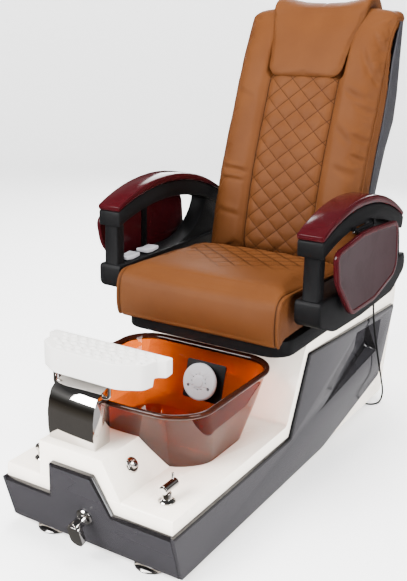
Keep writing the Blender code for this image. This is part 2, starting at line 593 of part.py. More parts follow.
def make_recline_drive():
    mid_z, rod_z = 0.4435, 0.4440
    case = block("recline_motor", (-0.022, 0.812, 0.4325), (0.022, 0.870, 0.4545), "black_plastic", seat)
    sleeve = [(0.0062, 0), (0.0100, 0), (0.0100, 0.200), (0.0062, 0.200)]
    join(case, turned("recline_sleeve", sleeve, (0, 0.864, mid_z), (0, 1, 0), None, seat, 16))
    cut(case, rod("recline_bore", (0, 0.874, mid_z), (0, 1.080, mid_z), 0.0062, None, seat, 16))
    push = pivot("recline_push", (0, 1.100, rod_z), seat)
    stem = rod("recline_rod", (0, 0.930, mid_z), (0, 1.140, mid_z), 0.0050, "bright_steel", push, 14)
    join(stem, block("fork_root", (-0.0125, 1.132, 0.4365), (0.0125, 1.140, 0.4515), None, push))
    for side, sign in SIDES.items():
        ends = sorted((sign * 0.0075, sign * 0.0125))
        join(stem, block("fork_prong_" + side, (ends[0], 1.136, 0.4370), (ends[1], 1.188, 0.4510), None, push))


# ---------------------------------------------------------------- backrest
TRAVEL = Vector((0, 0.145, 0.395)).normalized()      # the way the massage carriage runs
OUTWARD = Vector((0, TRAVEL.z, -TRAVEL.y))           # square to it, towards the rear
MASSAGE_AT = Vector((0, at(BACK_FACE, 0.980) + 0.0905, 0.980))


def cushion_depth(z):
    return 0.090 if z < 1.1 else 0.090 - 0.045 * min(1.0, (z - 1.1) / 0.28)


def make_back_cushion():
    front = [(y, z) for z, y in BACK_FACE]
    roll = [(1.402, 1.408), (1.432, 1.424), (1.462, 1.424), (1.480, 1.408), (1.476, 1.390)]
    rear = [(at(BACK_FACE, z) + cushion_depth(z), z) for z in (1.388, 1.345, 1.250, 1.140, 1.050, 0.955, 0.825,
                                                                0.700, 0.590)]
    bevel(prism("back_cushion", front + roll + rear, "X", -0.288, 0.288, "tan_leather", back), 0.012, 2, 50)


def make_pillow():
    """The head flap: narrow at its lower edge, wider where it rolls over the top of the backrest."""
    stations = [(at(BACK_FACE, z), z) for z in (1.195, 1.225, 1.250, 1.300, 1.345)]
    stations += [(1.377, 1.380), (1.402, 1.408), (1.432, 1.424), (1.462, 1.424), (1.478, 1.412)]
    rings = []
    for k, (y, z) in enumerate(stations):
        before = Vector(stations[max(k - 1, 0)])
        after = Vector(stations[min(k + 1, len(stations) - 1)])
        out = (after - before).normalized()
        out = Vector((-out.y, out.x))
        share = k / (len(stations) - 1)
        half = 0.146 + 0.044 * min(1.0, share * 1.3)
        thick = 0.020 if 0 < k < len(stations) - 1 else 0.012
        near, far = 0.0012, thick
        ring = []
        for x, d in ((-half, near), (half, near), (half, far * 0.7), (half * 0.8, far), (-half * 0.8, far),
                     (-half, far * 0.7)):
            ring.append((x, y + out.x * d, z + out.y * d))
        rings.append(ring)
    loft("head_pillow", rings, "tan_leather", back)


def make_back_shell():
    half, wall = 0.283, 0.006
    heights = (0.700, 0.825, 0.955, 1.050, 1.140, 1.250, 1.345, 1.385)
    front = [(at(BACK_FACE, z) + cushion_depth(z) + 0.0012, z) for z in heights]
    rear = [(at(SHELL_REAR, z), z) for z in heights]
    shell = prism("back_shell", front + rear[::-1], "X", -half, half, "shell_grey", back)
    front_in = [(y - 0.030, z) for y, z in front]
    rear_in = [(y - wall, z) for y, z in rear]
    front_in = [(front_in[0][0], 0.660)] + front_in[:-1] + [(front_in[-1][0], 1.379)]
    rear_in = [(rear_in[0][0], 0.660)] + rear_in[:-1] + [(rear_in[-1][0], 1.379)]
    cut(shell, prism("shell_room", front_in + rear_in[::-1], "X", wall - half, half - wall, None, back))


def make_back_frame():
    near, far = 0.0925, 0.1160
    post = [(1.152, 0.520), (1.152, 0.548), (1.193, 0.582), (at(BACK_FACE, 0.66) + near, 0.660),
            (at(BACK_FACE, 0.855) + near, 0.855), (at(BACK_FACE, 1.25) + near, 1.250),
            (at(BACK_FACE, 1.25) + far, 1.250), (at(BACK_FACE, 0.855) + far, 0.855),
            (at(BACK_FACE, 0.66) + far, 0.655), (1.217, 0.582), (1.190, 0.520)]
    frame = prism("back_frame", post, "X", 0.226, 0.244, "frame_steel", back)
    join(frame, prism("back_post_right", post, "X", -0.244, -0.226, None, back))
    for k, along in enumerate((-0.170, 0.212)):
        mid = MASSAGE_AT + TRAVEL * along + OUTWARD * 0.0285
        rings = []
        for x in (-0.235, 0.235):
            rings.append([mid + Vector((x, 0, 0)) + TRAVEL * a + OUTWARD * b
                          for a, b in ((-0.008, -0.008), (0.008, -0.008), (0.008, 0.008), (-0.008, 0.008))])
        join(frame, loft(f"back_cross_{k}", rings, None, back))
    for side, sign in SIDES.items():
        start = MASSAGE_AT + TRAVEL * -0.172 + OUTWARD * 0.0285 + Vector((sign * 0.100, 0, 0))
        join(frame, rod("massage_guide_" + side, start, start + TRAVEL * 0.386, 0.0060, None, back, 12))
    axle = (SEAT_TILT_Y, SEAT_TILT_Z)
    join(frame, rod("recline_tube", (-0.2405, *axle), (0.2405, *axle), 0.0115, None, back, 20))
    join(frame, block("recline_lever", (-0.0045, 1.160, 0.4375), (0.0045, 1.180, 0.540), None, back))
    for side, sign in SIDES.items():
        cut(frame, rod("recline_hole_" + side, (sign * 0.2195, *axle), (sign * 0.260, *axle), 0.0084, None, back, 20))


def make_massage():
    ride = pivot("massage_travel", MASSAGE_AT, back)
    depth = (0.0180, 0.0400)
    rings = []
    for x in (-0.118, 0.118):
        rings.append([MASSAGE_AT + Vector((x, 0, 0)) + TRAVEL * a + OUTWARD * b
                      for a, b in ((-0.034, depth[0]), (0.034, depth[0]), (0.034, depth[1]), (-0.034, depth[1]))])
    body = loft("massage_carriage", rings, "black_plastic", ride)
    for side, sign in SIDES.items():
        mid = MASSAGE_AT + OUTWARD * 0.0285 + Vector((sign * 0.100, 0, 0))
        cut(body, rod("guide_hole_" + side, mid - TRAVEL * 0.05, mid + TRAVEL * 0.05, 0.0064, None, ride, 12))
    axle_at = MASSAGE_AT + TRAVEL * 0.060 + OUTWARD * 0.0215
    neck = []
    for x in (-0.012, 0.012):
        neck.append([MASSAGE_AT + Vector((x, 0, 0)) + TRAVEL * a + OUTWARD * b
                     for a, b in ((0.030, 0.0185), (0.068, 0.0155), (0.068, 0.0275), (0.030, 0.0395))])
    join(body, loft("roller_neck", neck, None, ride))
    axle_x = Vector((0.072, 0, 0))
    join(body, rod("roller_axle", axle_at - axle_x, axle_at + axle_x, 0.0040, None, ride, 12))
    for side, sign in SIDES.items():
        spin = pivot("roller_spin_" + side, axle_at, ride)
        wheel = [(0.0045, 0), (0.0165, 0), (0.0185, 0.010), (0.0185, 0.026), (0.0165, 0.036), (0.0045, 0.036)]
        turned("roller_" + side, wheel, axle_at + Vector((sign * 0.026, 0, 0)), (sign, 0, 0), "black_rubber", spin, 20)


# ---------------------------------------------------------------- armrests and trays
ARCH_MID = 0.890
CAP_TOP, CAP_SEAT, ARCH_LOW = (0.8770, 0.71), (0.8500, 0.78), (0.7955, 0.84)


def arch(level, start, end, steps=14, lift=0.0):
    """Points on one of the arcs that shape an armrest, each given by its highest z and its radius."""
    top, radius = level
    ys = [start + (end - start) * k / steps for k in range(steps + 1)]
    return [(y, top + lift - radius + math.sqrt(radius ** 2 - (y - ARCH_MID) ** 2)) for y in ys]


def make_arm(side, sign):
    lift = pivot("arm_lift_" + side, (sign * 0.3, ARM_AXIS_Y, ARM_AXIS_Z), seat)
    inner, outer = sign * ARM_IN, sign * ARM_OUT
    band = arch(ARCH_LOW, 0.602, 1.262) + arch(CAP_SEAT, 1.272, 0.600)
    arm = bevel(prism("arm_frame_" + side, band, "X", inner, outer, "black_plastic", lift), 0.006, 2)
    beam = rounded([(0.600, 0.617, 0.012), (0.600, 0.545, 0.030), (0.720, 0.498, 0.120), (0.930, 0.491, 0.3),
                    (1.210, 0.500, 0.060), (1.330, 0.560, 0.040), (1.312, 0.617, 0.015)])
    join(arm, bevel(prism("arm_beam_" + side, beam, "X", inner, outer, None, lift), 0.007, 2))
    front = rounded([(0.611, 0.600), (0.613, 0.780), (0.653, 0.780), (0.655, 0.600)])
    join(arm, bevel(prism("arm_post_front_" + side, front, "X", sign * 0.328, sign * 0.381, None, lift), 0.008, 2))
    rear = rounded([(0.930, 0.606), (1.065, 0.640, 0.150), (1.145, 0.715, 0.120), (1.160, 0.776), (1.252, 0.737),
                    (1.272, 0.690, 0.030), (1.288, 0.606)], 4)
    join(arm, bevel(prism("arm_post_rear_" + side, rear, "X", sign * 0.322, sign * 0.385, None, lift), 0.006, 2, 50))
    cut(arm, rod("arm_hole_" + side, (sign * 0.300, ARM_AXIS_Y, ARM_AXIS_Z), (sign * 0.350, ARM_AXIS_Y, ARM_AXIS_Z),
                 0.0104, None, lift, 20))
    cap = arch(CAP_SEAT, 0.600, 1.272, lift=GAP) + arch(CAP_TOP, 1.266, 0.596)
    bevel(prism("arm_cap_" + side, cap, "X", sign * (ARM_IN - 0.002), sign * (ARM_OUT + 0.001), "burgundy_gloss",
                lift), 0.007, 2)
    for k, y in enumerate((0.800, 0.951)):
        ends = sorted((sign * (ARM_OUT - 0.004), sign * (FLIP_X + 0.006)))
        lug = block(f"tray_lug_{side}_{k}", (ends[0], y, FLIP_Z + 0.001), (ends[1], y + 0.009, FLIP_Z + 0.012), None,
                    lift)
        plate = block(f"tray_lug_plate_{side}_{k}", (sorted((sign * 0.3965, sign * 0.4055))[0], y, FLIP_Z - 0.006),
                      (sorted((sign * 0.3965, sign * 0.4055))[1], y + 0.009, FLIP_Z + 0.011), None, lift)
        join(arm, lug, plate)
    cut(arm, rod("tray_pin_hole_" + side, (sign * FLIP_X, 0.790, FLIP_Z), (sign * FLIP_X, 0.970, FLIP_Z), 0.0031,
                 None, lift, 12))
    rod("tray_pin_" + side, (sign * FLIP_X, 0.798, FLIP_Z), (sign * FLIP_X, 0.962, FLIP_Z), 0.0027, "chrome", lift, 12)
    make_tray(side, sign, lift)


def make_tray(side, sign, lift):
    flip = pivot("tray_flip_" + side, (sign * FLIP_X, 0.880, FLIP_Z), lift)
    outline = rounded([(0.622, 0.764, 0.030), (0.860, 0.791, 0.400), (1.130, 0.768, 0.045), (1.152, 0.590, 0.060),
                       (0.950, 0.542, 0.150), (0.765, 0.543, 0.060), (0.645, 0.665, 0.120)], 4)
    outline = [(y, min(z, FLIP_Z - 0.004)) for y, z in outline]
    face = sign * 0.4105
    tray = prism("tray_" + side, outline, "X", face, face + sign * 0.0155, "burgundy_gloss", flip)
    bevel(tray, 0.004, 2, 40)
    knuckle = [(0.0031, 0), (0.0052, 0), (0.0052, 0.130), (0.0031, 0.130)]
    hinge = turned("tray_hinge_" + side, knuckle, (sign * FLIP_X, 0.8150, FLIP_Z), (0, 1, 0), "black_plastic", flip, 16)
    ends = sorted((sign * (FLIP_X + 0.0015), sign * 0.4102))
    leaf = block("hinge_leaf_" + side, (ends[0], 0.8200, 0.7600), (ends[1], 0.9400, FLIP_Z - 0.0036), None, flip)
    strap = sorted((sign * 0.4062, sign * 0.4102))
    join(hinge, leaf, block("hinge_strap_" + side, (strap[0], 0.8650, 0.6000), (strap[1], 0.8950, 0.7700), None, flip))


def make_switches():
    arm = bpy.data.objects["arm_lift_right"]
    for name, y in (("switch_slide", 0.700), ("switch_recline", 0.812)):
        spot = (-0.347, y, 0.6185)
        rock = pivot(name + "_rock", spot, arm)
        side = rounded([(y - 0.036, 0.6212), (y, 0.6176), (y + 0.036, 0.6212), (y + 0.038, 0.633, 0.003),
                        (y, 0.6295, 0.05), (y - 0.038, 0.633, 0.003)])
        bevel(prism(name, side, "X", -0.368, -0.326, "grey_plastic", rock), 0.0015, 1)


# ---------------------------------------------------------------- mains lead
OUTLET_X, OUTLET_Y = 0.2985, 1.305
COIL_AT = (0.0, 1.672, -FOOT_H)
COIL_IN, COIL_OUT, COIL_H = 0.0285, 0.0500, 0.0145


def cord_route():
    """From the strain relief down the side of the base, round on the floor, and under the base to the coil."""
    x, y = OUTLET_X, OUTLET_Y
    floor = CORD_R + 0.0002 - FOOT_H
    return [(x, y, 0.4245), (x, y + 0.001, 0.400), (x + 0.001, y + 0.010, 0.350), (x + 0.003, y + 0.030, 0.290),
            (x + 0.005, y + 0.057, 0.220), (x + 0.007, y + 0.087, 0.150), (x + 0.009, y + 0.117, 0.085),
            (x + 0.010, y + 0.138, 0.035), (x + 0.010, y + 0.140, 0.006), (x + 0.008, y + 0.124, floor + 0.003),
            (x + 0.002, y + 0.100, floor), (x - 0.014, y + 0.082, floor), (x - 0.037, y + 0.078, floor),
            (x - 0.064, y + 0.090, floor), (x - 0.100, y + 0.125, floor), (x - 0.130, y + 0.175, floor),
            (x - 0.165, y + 0.232, floor), (x - 0.215, y + 0.278, floor), (x - 0.262, y + 0.303, floor),
            (0.0, COIL_AT[1] - COIL_OUT - CORD_R - GAP, floor)]


def make_cord():
    x, y = OUTLET_X, OUTLET_Y
    box = rounded([(y - 0.020, 0.4560, 0.004), (y + 0.020, 0.4560, 0.004), (y + 0.020, 0.4870, 0.004),
                   (y - 0.020, 0.4870, 0.004)], 2)
    prism("cord_outlet", box, "X", BASE_W + GAP, 0.3075, "black_plastic", datum)
    relief = [(0, 0), (0.0070, 0), (0.0075, 0.004), (0.0048, 0.030), (0, 0.030)]
    turned("strain_relief", relief, (x, y, 0.4556), (0, 0, -1), "black_rubber", datum, 16)
    tube("power_cord", smooth_path(cord_route(), 0.0165), CORD_R, "black_rubber", datum, 2)
    ring = [(COIL_IN, 0.0002), (COIL_OUT, 0.0002), (COIL_OUT, COIL_H), (COIL_IN, COIL_H)]
    turned("cord_coil", ring, COIL_AT, (0, 0, 1), "black_rubber", datum, 28)
    make_plug()


def make_plug():
    """A flat moulded plug with a tapered tail, lying beside the coil and pointing to the rear."""
    low = 0.0003 - FOOT_H
    start = (COIL_AT[0] - COIL_OUT - 0.0140, COIL_AT[1] + 0.012)
    sections = [(0.000, 0.0040, 0.0075), (0.028, 0.0060, 0.011), (0.036, 0.012, 0.019), (0.060, 0.013, 0.021),
                (0.064, 0.011, 0.018)]
    rings = []
    for out, half, tall in sections:
        ring = rounded([(-half, 0.0, tall * 0.3), (half, 0.0, tall * 0.3), (half, tall, tall * 0.3),
                        (-half, tall, tall * 0.3)], 2)
        rings.append([(start[0] + a, start[1] + out, low + b) for a, b in ring])
    plug = loft("mains_plug", rings, "black_rubber", datum)
    tip = start[1] + 0.062
    for k, x in enumerate((-0.0065, 0.0065)):
        join(plug, block(f"plug_blade_{k}", (start[0] + x - 0.0008, tip, low + 0.010),
                         (start[0] + x + 0.0008, tip + 0.019, low + 0.016), None, datum))
    join(plug, rod("plug_earth", (start[0], tip, low + 0.0055), (start[0], tip + 0.021, low + 0.0055), 0.0024, None,
                   datum, 10))


# ---------------------------------------------------------------- build
make_base()
for which, turn_sign in SIDES.items():
    make_side_panel(which, turn_sign)
make_front_panel()
make_floor_frame()
make_bowl()
make_jet()
make_hood()
make_foot_rest()
make_taps()
make_slide()
make_carriage()
make_seat()
make_recline_drive()
make_back_cushion()
make_pillow()
make_back_shell()
make_back_frame()
make_massage()
for which, turn_sign in SIDES.items():
    make_arm(which, turn_sign)
make_switches()
make_cord()
bpy.context.view_layer.update()
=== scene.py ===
# %% [markdown]
# # A pedicure spa chair: the looks
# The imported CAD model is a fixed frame: every piece here is made in its metres, and rides on one of its bodies.
# +X is the sitter's left, +Y the rear and +Z up, with the floor at z = 0. The hard parts keep the CAD shape with
# softened edges, and the upholstery, resin bowl, foot rest and lead are made anew.

# %% Load the frame
import json
import math
from contextlib import contextmanager

import bmesh
import bpy
import numpy as np
from mathutils import Matrix, Vector


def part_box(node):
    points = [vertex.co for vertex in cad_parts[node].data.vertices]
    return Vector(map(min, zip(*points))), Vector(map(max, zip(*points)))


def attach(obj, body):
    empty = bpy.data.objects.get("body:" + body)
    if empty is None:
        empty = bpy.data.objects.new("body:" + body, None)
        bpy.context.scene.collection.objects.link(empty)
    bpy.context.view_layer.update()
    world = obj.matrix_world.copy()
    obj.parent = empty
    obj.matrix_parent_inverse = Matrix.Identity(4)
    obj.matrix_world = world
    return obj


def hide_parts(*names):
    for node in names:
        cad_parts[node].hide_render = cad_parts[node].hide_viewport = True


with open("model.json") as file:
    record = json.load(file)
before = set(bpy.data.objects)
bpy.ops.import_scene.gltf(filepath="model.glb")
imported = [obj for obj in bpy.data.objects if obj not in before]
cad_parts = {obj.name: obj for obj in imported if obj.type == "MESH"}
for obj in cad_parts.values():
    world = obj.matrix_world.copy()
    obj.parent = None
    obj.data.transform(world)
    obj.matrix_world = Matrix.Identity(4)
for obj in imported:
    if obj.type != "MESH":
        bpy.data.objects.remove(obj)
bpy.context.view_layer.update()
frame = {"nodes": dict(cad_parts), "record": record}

# %% [markdown]
# ## Camera
# A chair this tall is shown from a little above and to its left front, from far enough back that the foot bath
# doesn't swell. A camera object holds that view. The small shift only centres the picture, and a tiny roll keeps
# the uprights as they are.

# %% Camera
MIDDLE_Y = -0.7730            # the front panel's face
FOOT_H = 0.0200               # lower edge of the panels
CAMERA_AT = (1.3320, -2.3926, 1.4200)
CAMERA_TURN, CAMERA_DOWN, CAMERA_ROLL = 33.62, 16.20, 0.21
LENS_MM, SHIFT_X, SHIFT_Y = 54.64, 0.0709, -0.0318


def add_object(name, data):
    thing = bpy.data.objects.new(name, data)
    bpy.context.collection.objects.link(thing)
    return thing


def make_camera():
    """A camera turned about Z, then tipped down from the level, then rolled about its own line of sight."""
    lens = bpy.data.cameras.new("camera")
    lens.sensor_width = 36.0
    lens.lens, lens.shift_x, lens.shift_y = LENS_MM, SHIFT_X, SHIFT_Y
    camera = add_object("camera", lens)
    turn = Matrix.Rotation(math.radians(CAMERA_TURN), 4, "Z")
    tip = Matrix.Rotation(math.radians(90 - CAMERA_DOWN), 4, "X")
    roll = Matrix.Rotation(math.radians(CAMERA_ROLL), 4, "Z")
    camera.matrix_world = Matrix.Translation(CAMERA_AT) @ turn @ tip @ roll
    bpy.context.scene.camera = camera


make_camera()
print("camera at", CAMERA_AT)

# %% [markdown]
# ## Shared shader effects
# Three effects turn up in many finishes: leather grain, moulded texture and faint smudges. Each is a node group,
# built once, that puts out a height, a mask or a value, so that every finish can place it with its own sizes.


# %% Node helpers
def new_group(name, scale, *outputs):
    """A shader group with a Scale input and these outputs. It comes with its Scale, its end, and the object
    coordinates that every pattern starts from."""
    group = bpy.data.node_groups.new(name, "ShaderNodeTree")
    socket = group.interface.new_socket("Scale", in_out="INPUT", socket_type="NodeSocketFloat")
    socket.default_value = scale
    for label in outputs:
        group.interface.new_socket(label, in_out="OUTPUT", socket_type="NodeSocketFloat")
    start, end = group.nodes.new("NodeGroupInput"), group.nodes.new("NodeGroupOutput")
    return group, start.outputs["Scale"], end, place(group, "TexCoord").outputs["Object"]


def feed(tree, node, **values):
    """The node, with its named inputs given a value or linked from a socket. _ is a space, and i0 the first."""
    for key, value in values.items():
        slot = node.inputs[int(key[1:])] if key[0] == "i" and key[1:].isdigit() else node.inputs[key.replace("_", " ")]
        if isinstance(value, bpy.types.NodeSocket):
            tree.links.new(value, slot)
        else:
            slot.default_value = value
    return node


def place(tree, kind, settings=None, **values):
    """A new node with its properties set and its inputs fed."""
    node = tree.nodes.new("ShaderNode" + kind)
    for key, value in (settings or {}).items():
        setattr(node, key, value)
    return feed(tree, node, **values)


def maths(tree, how, a, b=0.0, c=0.0):
    return place(tree, "Math", {"operation": how}, i0=a, i1=b, i2=c).outputs[0]


def ramp(tree, value, low, high, out_low=0.0, out_high=1.0):
    """Value between low and high becomes out_low to out_high."""
    return place(tree, "MapRange", Value=value, From_Min=low, From_Max=high, To_Min=out_low,
                 To_Max=out_high).outputs[0]


# %% Shader groups
def make_leather_grain():
    """Pebbles between creases: smooth Voronoi cells warped by noise, and a slow tone change over the hide."""
    group, scale, end, where = new_group("leather_grain", 260.0, "Height", "Tone")
    warp = place(group, "TexNoise", Vector=where, Scale=90.0, Detail=2.0)
    shift = place(group, "VectorMath", {"operation": "MULTIPLY_ADD"}, i0=warp.outputs["Color"],
                  i1=(0.004, 0.004, 0.004), i2=where)
    cells = place(group, "TexVoronoi", {"feature": "DISTANCE_TO_EDGE"}, Vector=shift.outputs[0], Scale=scale)
    fine = place(group, "TexNoise", Vector=where, Scale=900.0, Detail=3.0)
    pebble = ramp(group, cells.outputs["Distance"], 0.0, 0.25)
    height = maths(group, "MULTIPLY_ADD", pebble, 0.8, maths(group, "MULTIPLY", fine.outputs[0], 0.2))
    slow = place(group, "TexNoise", Vector=where, Scale=7.0, Detail=4.0, Roughness=0.6)
    feed(group, end, Height=height, Tone=ramp(group, slow.outputs[0], 0.3, 0.7))
    return group


def make_moulded_texture():
    """The fine dimpled skin of moulded plastic, with a slower waviness of its tone."""
    group, scale, end, where = new_group("moulded_texture", 900.0, "Height", "Tone")
    fine = place(group, "TexNoise", Vector=where, Detail=2.0, Scale=scale)
    slow = place(group, "TexNoise", Vector=where, Scale=5.0, Detail=3.0)
    feed(group, end, Height=ramp(group, fine.outputs[0], 0.35, 0.65), Tone=ramp(group, slow.outputs[0], 0.3, 0.7))
    return group


def make_smudges():
    """Faint wiped patches, as handling leaves on gloss: stretched noise, pushed to soft islands."""
    group, scale, end, where = new_group("smudges", 9.0, "Mask")
    patches = place(group, "TexNoise", Vector=where, Detail=5.0, Roughness=0.65, Distortion=0.8, Scale=scale)
    feed(group, end, Mask=ramp(group, patches.outputs[0], 0.45, 0.70))
    return group


leather_grain = make_leather_grain()
moulded_texture = make_moulded_texture()
smudges = make_smudges()
print("node groups:", [g.name for g in bpy.data.node_groups])

# %% [markdown]
# ## Finishes
# Each finish is one material around a Principled shader. Numbers that are the same all over sit on its sockets;
# the groups above give it grain, tone and wear.


# %% Material helpers
FINISHES = {}


def base_material(name, colour, roughness, metallic=0.0, **more):
    """A Principled material, kept by its name; more names other sockets."""
    made = FINISHES[name] = bpy.data.materials.new(name)
    made.use_nodes = True
    tree = made.node_tree
    shader = tree.nodes["Principled BSDF"]
    feed(tree, shader, Base_Color=(*colour, 1.0), Roughness=roughness, Metallic=metallic, **more)
    return made, tree, shader


def add_group(tree, group, **values):
    return place(tree, "Group", {"node_tree": group}, **values)


def blend(tree, factor, first, second):
    """The first colour where the factor is 0 and the second where it is 1; the first may be a socket."""
    start = first if isinstance(first, bpy.types.NodeSocket) else (*first, 1.0)
    mix = place(tree, "Mix", {"data_type": "RGBA"}, Factor=factor, A=start, B=(*second, 1.0))
    return mix.outputs["Result"]


def bump(tree, shader, height, strength, distance):
    node = place(tree, "Bump", Strength=strength, Distance=distance, Height=height)
    feed(tree, shader, Normal=node.outputs[0])


# %% Leather
def make_leather(name, light, dark, stitches=None, roughness=0.52):
    """Grained leather: two close browns over the hide, creases rougher than pebbles, stitch lines darker and sunk."""
    made, tree, shader = base_material(name, light, roughness, Specular_IOR_Level=0.07)
    grain = add_group(tree, leather_grain, Scale=330.0)
    colour = blend(tree, grain.outputs["Tone"], dark, light)
    height = grain.outputs["Height"]
    if stitches:
        lines = stitches(tree)
        colour = blend(tree, lines, colour, tuple(0.30 * c for c in dark))
        height = maths(tree, "SUBTRACT", height, maths(tree, "MULTIPLY", lines, 3.0))
    rough = ramp(tree, grain.outputs["Height"], 0.0, 1.0, roughness + 0.12, roughness - 0.04)
    feed(tree, shader, Base_Color=colour, Roughness=rough)
    bump(tree, shader, height, 0.35, 0.0006)
    return made


# %% [markdown]
# ## Stitch lines
# Quilting is two families of straight stitch rows that cross in diamonds. A row is thinner than any mesh could
# carry, so the leather draws it: a line is dark and sunk wherever a slanted coordinate is a whole number of
# pitches. The same helper draws a single seam at a set distance from the middle.


# %% Stitch lines
QUILT_PITCH, QUILT_SLOPE, PANEL_HALF = 0.0680, 0.87, 0.1290
SEAT_QUILT_AT, SEAT_SEAM = 0.815 + MIDDLE_Y, 0.2765


def axes_of(tree):
    where = place(tree, "TexCoord").outputs["Object"]
    return place(tree, "SeparateXYZ", i0=where).outputs


def line_mask(tree, offset, width):
    """1 on the line, fading to 0 at the given distance from it."""
    return ramp(tree, maths(tree, "ABSOLUTE", offset), width * 0.35, width, 1.0, 0.0)


def diamond_rows(tree, across, along, width):
    """The greater of both families' line masks."""
    masks = []
    for lean in (QUILT_SLOPE, -QUILT_SLOPE):
        phase = maths(tree, "DIVIDE", maths(tree, "MULTIPLY_ADD", across, lean, along), QUILT_PITCH)
        off = maths(tree, "SUBTRACT", phase, maths(tree, "ROUND", phase))
        masks.append(line_mask(tree, maths(tree, "MULTIPLY", off, QUILT_PITCH / math.hypot(1, QUILT_SLOPE)), width))
    return maths(tree, "MAXIMUM", *masks)


def back_stitches(tree):
    """Diamonds between the two seams, and the seams themselves."""
    x, _, z = axes_of(tree)
    wide = maths(tree, "ABSOLUTE", x)
    height = maths(tree, "SUBTRACT", z, FOOT_H)
    inside = ramp(tree, wide, PANEL_HALF - 0.001, PANEL_HALF, 1.0, 0.0)
    rows = maths(tree, "MULTIPLY", diamond_rows(tree, x, height, 0.0013), inside)
    seam = line_mask(tree, maths(tree, "SUBTRACT", wide, PANEL_HALF), 0.0022)
    return maths(tree, "MAXIMUM", rows, seam)


def seat_stitches(tree):
    """Diamonds at the rear middle of the seat, fading out towards the front and the sides."""
    x, y, _ = axes_of(tree)
    rows = diamond_rows(tree, x, y, 0.0050)
    wide = maths(tree, "ABSOLUTE", x)
    ahead = maths(tree, "MULTIPLY_ADD", wide, 0.55, maths(tree, "SUBTRACT", SEAT_QUILT_AT - 0.02, y))
    fade = ramp(tree, ahead, 0.04, 0.13, 0.85, 0.0)
    side = ramp(tree, wide, 0.195, 0.215, 1.0, 0.0)
    quilt = maths(tree, "MULTIPLY", rows, maths(tree, "MULTIPLY", fade, side))
    return maths(tree, "MAXIMUM", quilt, line_mask(tree, maths(tree, "SUBTRACT", wide, SEAT_SEAM), 0.0022))


# %% Plastics, lacquers and metals
def make_moulded(name, colour, roughness, depth=0.25, scale=900.0, spread=0.12, shine=0.25):
    """Moulded plastic or rubber: dimpled skin, with a slight change of tone."""
    made, tree, shader = base_material(name, colour, roughness, Specular_IOR_Level=shine)
    skin = add_group(tree, moulded_texture, Scale=scale)
    lighter = tuple(min(1.0, c * (1 + spread) + 0.002) for c in colour)
    tone = skin.outputs["Tone"]
    feed(tree, shader, Base_Color=blend(tree, tone, colour, lighter),
         Roughness=ramp(tree, tone, 0.0, 1.0, roughness, roughness + 0.05))
    bump(tree, shader, skin.outputs["Height"], depth, 0.0004)
    return made


def make_gloss(name, colour, roughness, smear, metallic=0.0, shine=0.5):
    """Polished plastic, lacquer or plate: smooth, with wiped patches that are a little rougher."""
    made, tree, shader = base_material(name, colour, roughness, metallic, Specular_IOR_Level=shine)
    mask = add_group(tree, smudges, Scale=8.0).outputs["Mask"]
    duller = tuple(c * 0.93 + 0.002 for c in colour)
    feed(tree, shader, Base_Color=blend(tree, mask, colour, duller),
         Roughness=ramp(tree, mask, 0.0, 1.0, roughness, roughness + smear))
    return made


def make_resin(name, light, dark, clear):
    """Clear amber resin: light passes through, and the wall soaks up everything but orange."""
    made, tree, shader = base_material(name, light, 0.04, Transmission_Weight=clear, IOR=1.30)
    mask = add_group(tree, smudges, Scale=5.0).outputs["Mask"]
    feed(tree, shader, Base_Color=blend(tree, mask, light, dark), Roughness=ramp(tree, mask, 0.0, 1.0, 0.02, 0.07))
    return made


HIDE_LIGHT, HIDE_DARK = (0.068, 0.0228, 0.0060), (0.056, 0.0180, 0.0046)
tan_leather = make_leather("tan_leather", HIDE_LIGHT, HIDE_DARK)
back_leather = make_leather("back_leather", HIDE_LIGHT, HIDE_DARK, back_stitches)
seat_leather = make_leather("seat_leather", HIDE_LIGHT, HIDE_DARK, seat_stitches)
make_gloss("cream_gelcoat", (0.97, 0.885, 0.775), 0.20, 0.10)
make_gloss("black_gloss", (0.021, 0.0200, 0.0225), 0.10, 0.08)
# The black lacquer made darker for the panel flanges: painted shade for the dark reflection of the slanted band
flange_painted_shade = make_gloss("flange_painted_shade", (0.006, 0.0055, 0.006), 0.08, 0.06)
make_gloss("burgundy_gloss", (0.022, 0.0019, 0.0030), 0.12, 0.06, shine=0.13)
burgundy_satin = make_gloss("burgundy_satin", (0.0175, 0.0060, 0.0075), 0.36, 0.08, shine=0.14)
make_gloss("chrome", (0.56, 0.54, 0.52), 0.05, 0.07, metallic=1.0)
make_gloss("bright_steel", (0.42, 0.42, 0.43), 0.25, 0.12, metallic=1.0)
make_moulded("frame_steel", (0.020, 0.020, 0.022), 0.45)
make_moulded("black_plastic", (0.0024, 0.0024, 0.0027), 0.46, 0.45, 700.0, shine=0.09)
make_moulded("shell_grey", (0.020, 0.0195, 0.023), 0.45)
white_plastic = make_moulded("white_plastic", (0.60, 0.585, 0.56), 0.30, 0.05, 500.0, 0.02)
jet_plastic = make_moulded("jet_plastic", (0.30, 0.30, 0.315), 0.35, 0.08, 700.0, 0.05)
make_moulded("grey_plastic", (0.42, 0.42, 0.45), 0.35, 0.08, 700.0, 0.05)
black_rubber = make_moulded("black_rubber", (0.004, 0.004, 0.004), 0.55, 0.2, 1200.0)
amber_resin = make_resin("amber_resin", (0.34, 0.056, 0.0022), (0.29, 0.045, 0.0017), 1.0)
amber_rim = make_resin("amber_rim", (0.022, 0.0055, 0.0028), (0.016, 0.0040, 0.0022), 0.30)
SLOT_FOR = {made: slot for slot, made in FINISHES.items()}
SLOT_FOR |= {back_leather: "tan_leather", seat_leather: "tan_leather"}
print("finishes:", sorted(FINISHES))

# %% [markdown]
# ## Mesh helpers
# A surface is a function of two parameters, worked out for a whole grid at once, and then stitched into faces.


